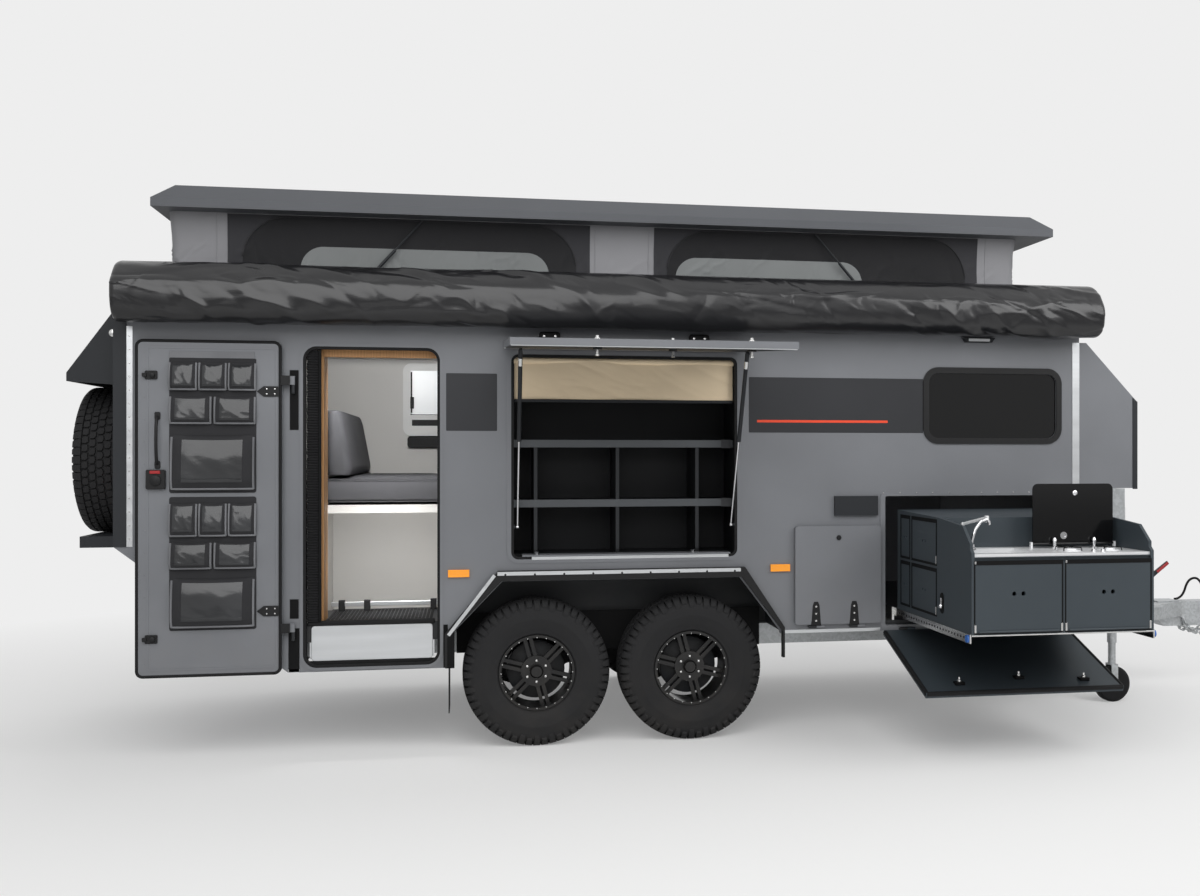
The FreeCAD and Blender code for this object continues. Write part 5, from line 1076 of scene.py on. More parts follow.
@dataclass
class DoorDressing:
    """The entry door: border, edge seal, pockets, hinge plates, latches, grab handle and lock."""

    face: float = -1.144
    rear: float = -2.440
    front: float = -1.738
    free: float = -1.755
    columns: Flat = (-2.300, -1.868)
    hinges: Flat = (1.919, 0.781)
    latches: Flat = (1.998, 0.650)
    handle: tuple[Flat, ...] = (
        (1.545, 0.004), (1.560, 0.024), (1.60, 0.034), (1.665, 0.037), (1.73, 0.034), (1.770, 0.024), (1.785, 0.004))
    rows: tuple[tuple[float, float, int, float], ...] = (
        (1.921, 2.085, 3, 0.040), (1.748, 1.911, 2, 0.036), (1.405, 1.727, 1, 0.046),
        (1.170, 1.366, 3, 0.040), (1.004, 1.160, 2, 0.036), (0.700, 0.989, 1, 0.046))

    def pocket(self, name: str, ends: Flat, low: float, high: float, deep: float) -> None:
        """Make one pocket: a bulging cloth pouch with a bound edge and a film window.

        The pouch's depth is a product of two eased arcs, fuller towards its foot.
        """
        u, v = grid_of(np.linspace(0, 1, 34), np.linspace(0, 1, 30))
        arc = (1 - np.abs(2 * u - 1) ** 4) ** 0.5
        foot = (1 - np.abs(2 * np.clip(v * 0.55, 0, 1)) ** 2.5) ** 0.6
        rise = np.clip(v * 6, 0, 1) ** 0.5
        bulge = deep * arc * foot * rise + 0.002
        bulge += 0.004 * arc * rise * folds(u * 2.2, v * 2.4 + ends[0] * 9, 41, 0.7, 2)
        mouth = 0.010 * np.sin(math.pi * u) * v ** 3
        x = ends[0] + (ends[1] - ends[0]) * u
        z = low + (high - low) * v - mouth
        front = spots(x, self.face - bulge, z)
        back = spots(x, self.face - 0.0012, z)
        rings = np.concatenate([front, back[:, ::-1]], 1)
        pouch = Shape().loft(rings).cast(name, "door", POCKET, closed=True, smooth=60)
        edge = np.concatenate([front[::-1, 1], front[1, 1:-1], front[:, -2]]) + np.array([0.0, -0.001, 0.0])
        top = front[-1] + np.array([0.0, -0.001, 0.0])
        tape = Shape().tube(edge, 0.0058, (0.0, 1.0, 0.0), 6).tube(top, 0.0062, (0.0, 1.0, 0.0), 6)
        tape.cast(f"{name}_binding", "door", TAPE)
        cut = front[4:-5, 5:-5] + np.array([0.0, -0.0022, 0.0])
        Shape().sheet(cut).cast(f"{name}_film", "door", FILM, closed=False, smooth=60)

    def hardware(self) -> None:
        """Make the pointed hinge plates, the corner latches, the handle and the lock."""
        plates = Shape()
        for z in self.hinges:
            point = np.array([
                (-1.764, z - 0.026), (-1.764, z + 0.026), (-1.835, z + 0.026), (-1.868, z), (-1.835, z - 0.026)])
            plates.plate(point[::-1], Plane.XZ, self.face - 0.005, self.face + 0.0005, 0.001)
        plates.cast("door_hinge_plates", "door", PLASTIC)
        screws = np.array([(x, self.face - 0.005, z + dz)
                           for z in self.hinges for x in (-1.780, -1.820) for dz in (-0.013, 0.013)])
        Shape().bolts(screws, 1, -1.0).cast("door_hinge_screws", "door", STEEL)
        latch = Shape()
        for z in self.latches:
            latch.tile((-2.412, -2.352, z - 0.022, z + 0.022), 0.006, self.face - 0.010, self.face, 0.002)
            latch.lathe([(0.013, 0.0), (0.013, 0.014), (0.009, 0.017), (0.0, 0.017)], (-2.375, self.face - 0.008, z),
                        1, -1.0, 16)
            latch.tile((-2.424, -2.402, z - 0.010, z + 0.010), 0.004, self.face - 0.020, self.face - 0.006, 0.002)
        latch.cast("door_corner_latches", "door", PLASTIC)
        line = np.array(self.handle)
        path = spots(-2.352, self.face - line[:, 1], line[:, 0])
        handle = Shape().tube(path, 0.008, (1.0, 0.0, 0.0), 10)
        for z in (1.540, 1.790):
            handle.tile((-2.366, -2.338, z - 0.020, z + 0.020), 0.008, self.face - 0.007, self.face, 0.002)
        handle.cast("door_grab_handle", "door", PLASTIC)
        lock = Shape().tile((-2.405, -2.312, 1.415, 1.515), 0.008, self.face - 0.022, self.face, 0.003)
        lock.lathe([(0.026, 0.0), (0.026, 0.008), (0.020, 0.012), (0.0, 0.012)], (-2.358, self.face - 0.022, 1.460),
                   1, -1.0, 20)
        lock.cast("door_lock", "door", PLASTIC, ("door_latches",))
        Shape().tile((-2.385, -2.335, 1.494, 1.510), 0.004, self.face - 0.027, self.face - 0.020, 0.002).cast(
            "door_lock_slide", "door", GRIP)

    def border(self) -> None:
        """Make the folded border of the door's lining and its rivets."""
        low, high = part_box("door_panel")
        line = corners(self.rear + 0.035, self.front - 0.030, low.z + 0.035, high.z - 0.035)
        rings = np.stack([Plane.XZ.place(f, y) for f, y in (
            (line, self.face + 0.001), (line, self.face - 0.002), (inset(line, 0.010), self.face - 0.002),
            (inset(line, 0.012), self.face + 0.001))])
        Shape().loft(rings, caps=False).cast("door_lining_border", "door", BODY, closed=False)
        z = np.linspace(low.z + 0.07, high.z - 0.07, 15)
        rivets = np.concatenate([spots(x, self.face, z) for x in (self.rear + 0.024, self.front - 0.018)])
        Shape().bolts(rivets, 1, -1.0, 0.0035, 0.0015, 6).cast("door_rivets", "door", BODY)

    def seal(self) -> None:
        """Make the bulb seal round the leaf, the tape over the pockets, the hinge covers and the outer lock."""
        low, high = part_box("door_panel")
        line = rounded(low.x + 0.007, self.free, low.z + 0.007, high.z - 0.007, 0.030, 8)
        bulb = Shape().tube(Plane.XZ.place(np.concatenate([line, line[:2]]), self.face + 0.003), 0.0085,
                            (0.0, 1.0, 0.0), 10)
        bulb.cast("door_edge_seal", "door", RUBBER)
        tape = Shape().slab((self.columns[0] + 0.004, self.face - 0.004, 2.088),
                            (self.columns[1] - 0.012, self.face, 2.122), 0.001)
        tape.cast("pocket_header_tape", "door", TAPE)
        leaf = Shape()
        for z0, z1 in ((0.664, 0.713), (1.954, 2.003)):
            leaf.slab((-1.760, self.face - 0.003, z0), (-1.706, self.face + 0.001, z1), 0.001)
        leaf.cast("door_leaf_covers", "door", PLASTIC)
        outer = Shape().tile((-2.405, -2.325, 1.405, 1.525), 0.012, high.y - 0.001, high.y + 0.004, 0.001)
        outer.cast("door_outer_lock", "door", PLASTIC)

    def build(self) -> None:
        """Make the border, the seal, the pockets on their backing, and the hardware."""
        self.border()
        self.seal()
        backing = Shape()
        for low, high in ((1.395, 2.090), (0.690, 1.375)):
            backing.tile((self.columns[0] + 0.004, self.columns[1] - 0.004, low, high), 0.012, self.face - 0.0025,
                         self.face + 0.0002, 0.0005)
        backing.cast("pocket_backing", "door", POCKET, ("door_pockets",))
        for row, (low, high, count, deep) in enumerate(self.rows):
            wide = (self.columns[1] - self.columns[0]) / count
            for number in range(count):
                start = self.columns[0] + wide * number
                self.pocket(f"pocket_{row}_{number}", (start + 0.004, start + wide - 0.004), low, high, deep)
        self.hardware()


@dataclass
class SideFittings:
    """Side films with the red line, hinges, rivets, work light, lower bands and tail lenses."""

    skin: float = -1.100
    stripes: tuple[Box, ...] = ((-0.912, -0.643, 1.719, 2.028), (0.747, 1.774, 1.715, 2.026))
    red_line: Box = (0.794, 1.560, 1.772, 1.786)
    lenses: tuple[tuple[str, Finish, float, float], ...] = (
        ("red", RED_LENS, 1.392, 1.562), ("amber", AMBER, 1.302, 1.390), ("clear", BOTTLE, 1.228, 1.300))
    hatch_hinges: Flat = (-0.362, 0.462)
    straps: Flat = (1.128, 1.352)

    def films(self) -> None:
        """Make the dark side films and the thin red line on the long one."""
        rows = [(f"side_film_{{}}_{n}", box, 0.004, 0.0, 0.0012, 0.0003, FILM_DARK) for n,
                box in enumerate(self.stripes)]
        rows.append(("side_line_{}", self.red_line, 0.002, 0.0010, 0.0018, 0.0002, FILM_RED))
        for name, box, radius, low, high, bevel, finish in rows:
            for side, tag in MIRRORED:
                span = sorted((side * (low - self.skin), side * (high - self.skin)))
                Shape().tile(box, radius, *span, bevel, steps=3).cast(name.format(tag), "trailer", finish)

    def hinge_blocks(self) -> None:
        """Make the pill-shaped hinge blocks over the hatch and the door's wall hinges."""
        blocks = Shape()
        for x in self.hatch_hinges:
            blocks.tile((x - 0.057, x + 0.057, 2.211, 2.257), 0.016, self.skin - 0.020, self.skin + 0.001, 0.005)
        blocks.cast("hatch_hinge_blocks", "trailer", PLASTIC)
        caps = spots([x + dx for x in self.hatch_hinges for dx in (-0.030, 0.030)], self.skin - 0.020, 2.234)
        Shape().bolts(caps, 1, -1.0, 0.008, 0.004, 10).cast("hatch_hinge_caps", "trailer", STEEL)

    def access_fittings(self) -> None:
        """Make the strap hinges and the latch of the access hatch."""
        straps = Shape()
        for x in self.straps:
            strap = np.array([(x - 0.030, 0.628), (x + 0.030, 0.628), (x + 0.026, 0.660), (x + 0.020, 0.740),
                              (x + 0.012, 0.762), (x - 0.012, 0.762), (x - 0.020, 0.740), (x - 0.026, 0.660)])
            straps.plate(strap, Plane.XZ, self.skin - 0.034, self.skin - 0.026, 0.0015)
        straps.cast("access_hinge_straps", "access_flap", PLASTIC)
        screws = np.array([(x, self.skin - 0.034, z) for x in self.straps for z in (0.655, 0.695, 0.735)])
        Shape().bolts(screws, 1, -1.0, 0.006, 0.003).cast("access_strap_screws", "access_flap", STEEL)
        latch = Shape().tile((1.236, 1.286, 1.100, 1.145), 0.005, self.skin - 0.031, self.skin - 0.024, 0.002)
        latch.lathe([(0.014, 0.0), (0.014, 0.007), (0.0, 0.007)], (1.261, self.skin - 0.031, 1.122), 1, -1.0, 16)
        latch.cast("access_latch", "access_flap", PLASTIC)

    def rivets(self) -> None:
        """Make the rivets of the rear corner strip, the kitchen surround and the flare strip."""
        post = spots(-2.497, self.skin - 0.003, np.linspace(1.16, 2.20, 16))
        bay = spots(np.linspace(1.535, 2.622, 12), self.skin - 0.004, 1.371)
        Shape().bolts(np.concatenate([post, bay]), 1, -1.0, 0.0042, 0.002, 8).cast("side_rivets", "trailer", STEEL)
        low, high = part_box("fender_flares")
        flare = spots(np.linspace(-0.60, 0.66, 9), low.y, high.z - 0.020)
        Shape().bolts(flare, 1, -1.0, 0.006, 0.003, 8).cast("flare_screws", "trailer", PLASTIC)

    def lower_bands(self) -> None:
        """Make the bands and wall plates by the door, a black plate of painted shade between the tyres, the flares'
        strips, and the roof well's seal.
        """
        face = self.skin
        bands = Shape().slab((-1.719, face - 0.003, 0.452), (-1.664, face, 0.682), 0.0008)
        bands.slab((-0.926, face - 0.003, 0.452), (-0.903, face, 0.682), 0.0008)
        for side in (RIGHT, LEFT):
            foot, arch_shade = sorted((side * 1.133, side * 1.072)), sorted((side * 0.773, side * 0.779))
            bands.slab((-0.916, foot[0], 0.452), (-0.868, foot[1], 0.640), 0.001)
            # Painted shade: a black plate inside the tyres stands for the shade under the trailer and hides the rail
            # behind the wheels.
            bands.slab((-0.860, arch_shade[0], 0.478), (0.880, arch_shade[1], 0.700), 0.001)
        bands.cast("lower_black_bands", "trailer", BLACKED)
        plates = Shape()
        for z0, z1 in ((1.721, 2.034), (0.733, 0.834)):
            plates.slab((-1.712, face - 0.004, z0), (-1.668, face, z1), 0.0015)
        plates.cast("door_wall_plates", "trailer", BLACKED)
        outer = rounded(-2.545, 2.712, -1.069, 1.069, 0.004)
        deck = Shape().surround(outer, rounded(-2.320, 2.393, -0.948, 0.948, 0.06), Plane.XY, 2.428, 2.437)
        deck.cast("roof_well_seal", "trailer", RUBBER)
        low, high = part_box("fender_flares")
        strips = Shape()
        slope = np.array([(-0.893, 0.622), (-0.650, 0.938), (-0.664, 0.949), (-0.907, 0.633)])
        for y in (low.y, high.y - 0.0004):
            strips.plate(rounded(-0.642, 0.694, 0.941, 0.961, 0.003, 3), Plane.XZ, y - 0.0012, y + 0.0016, 0.0004)
            strips.plate(slope, Plane.XZ, y - 0.0012, y + 0.0016, 0.0004)
        strips.cast("flare_bright_strips", "trailer", ALLOY)

    def tail_lamps(self) -> None:
        """Make the three coloured lenses of each tail lamp, over the lamp's own block."""
        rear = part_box("lamps")[0].x
        for name, finish, z0, z1 in self.lenses:
            lens = Shape()
            for side in (RIGHT, LEFT):
                ends = sorted((side * 0.928, side * 1.012))
                lens.slab((rear - 0.004, ends[0], z0), (rear + 0.0075, ends[1], z1), 0.003)
            lens.cast(f"tail_lens_{name}", "trailer", finish)

    def work_light(self) -> None:
        """Make the slim work light under the awning bag."""
        body = np.array([(2.005, 2.268), (2.025, 2.240), (2.185, 2.240), (2.205, 2.268)])
        Shape().plate(body, Plane.XZ, self.skin - 0.030, self.skin, 0.002).cast("work_light", "trailer", DARK)
        lens = Shape().tile((2.040, 2.170, 2.246, 2.262), 0.004, self.skin - 0.0315, self.skin - 0.028, 0.0008,
                            steps=3)
        lens.cast("work_light_lens", "trailer", BOTTLE)

    def build(self) -> None:
        """Make all the side fittings."""
        self.films()
        self.hinge_blocks()
        self.access_fittings()
        self.rivets()
        self.work_light()
        self.lower_bands()
        self.tail_lamps()


@dataclass
class HatchDressing:
    """The serving hatch and its bay: blind, latches, lining, shelf edges, ledge strip and strut collars."""

    blind_low: float = 1.890
    blind_y: float = -1.058
    rear: float = -0.568
    front: float = 0.680
    low: float = 1.024
    thick: float = 0.034
    leaf: Flat = (-1.138, 2.166)
    run: Flat = (-0.99757, -0.0697)
    latch_spots: tuple[Flat, ...] = ((-0.210, 1.060), (0.200, 0.700), (0.520, 1.060))
    leaf_edge: float = 1.150
    shelf_levels: Flat = (1.322, 1.652)
    dividers: tuple[float, ...] = (-0.432, 0.020, 0.470)

    def blind(self) -> None:
        """Make the rolled blind: a tube with the cloth that hangs from it in slanting creases."""
        low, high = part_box("blind_roll")
        x, z = grid_of(np.linspace(low.x + 0.012, high.x - 0.012, 150),
                       np.linspace(self.blind_low, high.z - 0.018, 30))
        wave = folds(x * 2.4, z * 4.0, 51, 1.1, 3)
        y = self.blind_y + 0.010 * wave + 0.004 * np.sin(x * 9.0)
        cloth = Shape().sheet(np.stack([x, y, z], -1), np.stack([x, z], -1)).cast(
            "hatch_blind", "trailer", BLIND, ("blind_roll",), closed=False, smooth=80)
        tube = Shape().lathe([(0.017, 0.0), (0.017, float(high.x - low.x) - 0.004)],
                             (low.x + 0.002, (low.y + high.y) / 2, high.z - 0.020), 0, 1.0, 20)
        tube.cast("blind_tube", "trailer", BLIND)
        lower = (low.x + 0.012, high.x - 0.012, self.blind_low - 0.012, self.blind_low + 0.004)
        bar = Shape().tile(lower, 0.004, self.blind_y - 0.008, self.blind_y + 0.008, 0.002, steps=3)
        bar.cast("blind_bar", "trailer", DARK)

    def on_leaf(self, x: Array, out: float, proud: float) -> Array:
        """Return points on the raised hatch's underside.

        Args:
            x: places along the hatch.
            out: distance from its hinge edge.
            proud: how far the points stand below the underside.

        Returns:
            The points, one for each x.
        """
        y = self.leaf[0] + out * self.run[0] - proud * self.run[1]
        return spots(np.atleast_1d(x), y, self.leaf[1] + out * self.run[1] + proud * self.run[0])

    def latches(self) -> None:
        """Make the hatch's latches, a body below and a knob above, its edge beads and its lining."""
        low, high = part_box("hatch_panel")
        bodies, pins = Shape(), Shape()
        for x, out in self.latch_spots:
            foot = self.on_leaf(x, out, 0.0)[0]
            bodies.slab((x - 0.020, foot[1] - 0.016, foot[2] - 0.014), (x + 0.020, foot[1] + 0.016, foot[2] + 0.004),
                        0.003)
            pins.lathe([(0.007, 0.0), (0.007, 0.022), (0.010, 0.024), (0.010, 0.032), (0.0, 0.032)],
                       foot - (0, 0, 0.012), 2, -1.0, 14)
            pins.lathe([(0.016, 0.0), (0.016, 0.004), (0.009, 0.008), (0.009, 0.018), (0.0, 0.018)],
                       foot + (0, 0, self.thick - 0.001), 2, 1.0, 14)
        bodies.cast("hatch_latch_bodies", "hatch", PLASTIC)
        pins.cast("hatch_latch_pins", "hatch", STEEL)
        edge = Shape()
        for out in (0.006, self.leaf_edge):
            ends = self.on_leaf([low.x + 0.004, high.x - 0.004], out, 0.0)
            edge.tube(np.linspace(ends[0], ends[1], 5), 0.0045, (0.0, 1.0, 0.0), 8)
        edge.cast("hatch_underside_edges", "hatch", ALLOY)
        edges = corners(low.x + 0.012, high.x - 0.012, 0.020, self.leaf_edge - 0.008)
        ring = np.array([self.on_leaf(x, out, 0.0035)[0] for x, out in edges])
        under = np.stack([ring + (0, 0, 0.004), ring])
        Shape().loft(under).cast("hatch_underside_lining", "hatch", DARK)

    def shelves(self) -> None:
        """Make the steel shelf edges, their end brackets, the thin dividers and the ledge's strip."""
        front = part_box("storage_cabinet")[0].y
        bands, ends, thin = Shape(), Shape(), Shape()
        for z in self.shelf_levels:
            bands.slab((self.rear + 0.004, front - 0.004, z - 0.021), (self.front - 0.004, front, z + 0.021), 0.001)
            ends.slab((self.front - 0.072, front - 0.006, z - 0.024), (self.front - 0.016, front - 0.003, z + 0.024),
                      0.001)
        for x in self.dividers:
            thin.slab((x - 0.010, front - 0.002, self.low + 0.040), (x + 0.010, front, self.shelf_levels[1] - 0.021),
                      0.0008)
        bands.cast("shelf_edges", "trailer", SHELF)
        ends.cast("shelf_end_brackets", "trailer", LINEN)
        thin.cast("shelf_divider_edges", "trailer", DARK)
        ledge = Shape().slab((self.rear + 0.110, -1.1055, self.low - 0.004),
                             (self.front - 0.050, -1.093, self.low + 0.014), 0.001)
        ledge.cast("ledge_bright_strip", "trailer", ALLOY)
        knobs = np.array([(x, -1.055, self.low + 0.018) for x in (-0.430, 0.435)])
        Shape().lathe([(0.010, 0.0), (0.010, 0.016), (0.013, 0.020), (0.0, 0.024)], knobs, 2, 1.0, 14).cast(
            "ledge_knobs", "trailer", CHROME)

    def collars(self) -> None:
        """Make the pale collars at the upper end of each gas strut."""
        low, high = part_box("strut_tubes")
        rings = Shape()
        for x in (low.x + 0.011, high.x - 0.011):
            top = np.array([x, low.y + 0.010, high.z - 0.020])
            foot = np.array([x, high.y - 0.010, low.z + 0.012])
            way = (foot - top) / np.linalg.norm(foot - top)
            rings.tube(np.stack([top + way * d for d in (0.034, 0.055, 0.075)]), 0.0118, (0.0, 1.0, 0.0), 12)
        rings.cast("strut_collars", "strut_tube", STEEL)

    def build(self) -> None:
        """Make the hatch's fittings."""
        self.blind()
        self.latches()
        self.shelves()
        self.collars()


@dataclass
class Cabin:
    """What shows through the open door: fly screen, oak post, far window, rail, mat and step plate."""

    window: Box = (-1.244, -0.438, 1.720, 2.225)
    sill: float = 0.712
    screen_end: float = -1.566
    screen_rows: int = 205
    far: float = 1.0665
    rear: float = -1.628
    front: float = -0.972

    def screen(self) -> None:
        """Make the pleated fly screen, drawn back beside the opening: a zigzag in height."""
        z = np.linspace(self.sill, 2.140, self.screen_rows)
        x, height = grid_of(np.linspace(self.rear, self.screen_end, 5), z)
        depth = -1.082 + 0.005 * np.where(np.arange(self.screen_rows) % 2, 1.0, -1.0)[:, None]
        points = spots(x, depth, height)
        cloth = Shape().sheet(points, np.stack([x, height], -1)).cast("fly_screen", "trailer", SCREEN, closed=False,
                                                                      smooth=10)
        rail = Shape().slab((-1.570, -1.092, self.sill), (-1.556, -1.070, 2.146), 0.002)
        rail.cast("fly_screen_rail", "trailer", BLACKED)

    def woodwork(self) -> None:
        """Make the oak post that faces the entry board, and the oak rail over the door."""
        wood = Shape().slab((-1.577, -1.034, 0.702), (-1.548, -0.845, 2.340), 0.002)
        wood.slab((-1.548, -1.030, 2.112), (-0.700, -0.985, 2.162), 0.002)
        wood.cast("oak_woodwork", "trailer", OAK)

    def far_side(self) -> None:
        """Make the pale lining of the far wall with its white-framed window, whose pane glows with painted daylight,
        and its handle and net.
        """
        x0, x1, z0, z1 = self.window
        hole = rounded(x0 + 0.02, x1 - 0.02, z0 + 0.02, z1 - 0.02, 0.05)
        wall = rounded(-2.20, 0.90, 0.985, 2.405, 0.004)
        lining = Shape().surround(wall, hole, Plane.XZ, self.far - 0.005, self.far)
        lining.cast("far_wall_lining", "trailer", BOARD)
        frame_line = rounded(x0, x1, z0, z1, 0.055)
        ring = Shape().surround(frame_line, inset(frame_line, 0.050), Plane.XZ, self.far - 0.030, self.far - 0.004)
        ring.cast("far_window_frame", "trailer", FRAME_WHITE)
        pane = rounded(x0 + 0.046, x1 - 0.046, z0 + 0.150, z1 - 0.046, 0.020)
        Shape().plate(pane, Plane.XZ, self.far - 0.018, self.far - 0.010, 0.001).cast("far_window_pane", "trailer",
                                                                                      PANE_PALE)
        sill = Shape().slab((x0 + 0.046, self.far - 0.024, z0 + 0.046), (x1 - 0.046, self.far - 0.008, z0 + 0.146),
                            0.002)
        sill.cast("far_window_blind_case", "trailer", FRAME_WHITE)
        dark = Shape().slab((x0 + 0.052, self.far - 0.034, z0 + 0.160), (x0 + 0.062, self.far - 0.022, z1 - 0.060),
                            0.002)
        dark.slab((x0 + 0.050, self.far - 0.048, 1.910), (x0 + 0.074, self.far - 0.026, 1.990), 0.004)
        dark.slab((x0 + 0.060, self.far - 0.026, z0 + 0.070), (x1 - 0.060, self.far - 0.0235, z0 + 0.112), 0.001)
        dark.tile((x0 + 0.030, x1 - 0.030, z0 - 0.082, z0 - 0.004), 0.020, self.far - 0.040, self.far - 0.005, 0.003)
        dark.cast("far_window_fittings", "trailer", PLASTIC)

    def step(self) -> None:
        """Make the brushed step plate, its rubber lip, the ribbed mat and the low rail."""
        plate = rounded(self.rear + 0.020, self.front - 0.010, 0.502, 0.688, 0.018)
        Shape().plate(plate, Plane.XZ, -1.074, -1.068, 0.002).cast("step_plate", "trailer", ALLOY)
        lip = Shape().slab((self.rear, -1.078, 0.688), (self.front, -1.040, self.sill), 0.005)
        lip.slab((self.rear, -1.074, 0.484), (self.front, -1.066, 0.503), 0.002)
        lip.cast("step_rubber_lip", "trailer", RUBBER)
        x = np.linspace(-1.545, -0.985, 29)
        ribs = Shape()
        for start, end in zip(x[:-1], x[1:]):
            ribs.slab((float(start) + 0.003, -1.036, 0.6995), (float(end) - 0.003, -0.522, 0.7030), 0.0008)
        ribs.cast("entry_mat", "trailer", RUBBER)
        rail = Shape().slab((-1.560, -0.560, 0.728), (-0.945, -0.535, 0.752), 0.002)
        rail.cast("entry_rail", "trailer", ALLOY)
        feet = Shape()
        for x0 in (-1.520, -1.380, -1.010):
            feet.slab((x0, -0.564, 0.702), (x0 + 0.035, -0.530, 0.762), 0.003)
        feet.cast("entry_rail_feet", "trailer", PLASTIC)

    def build(self) -> None:
        """Make everything behind the door's opening."""
        self.screen()
        self.woodwork()
        self.far_side()
        self.step()


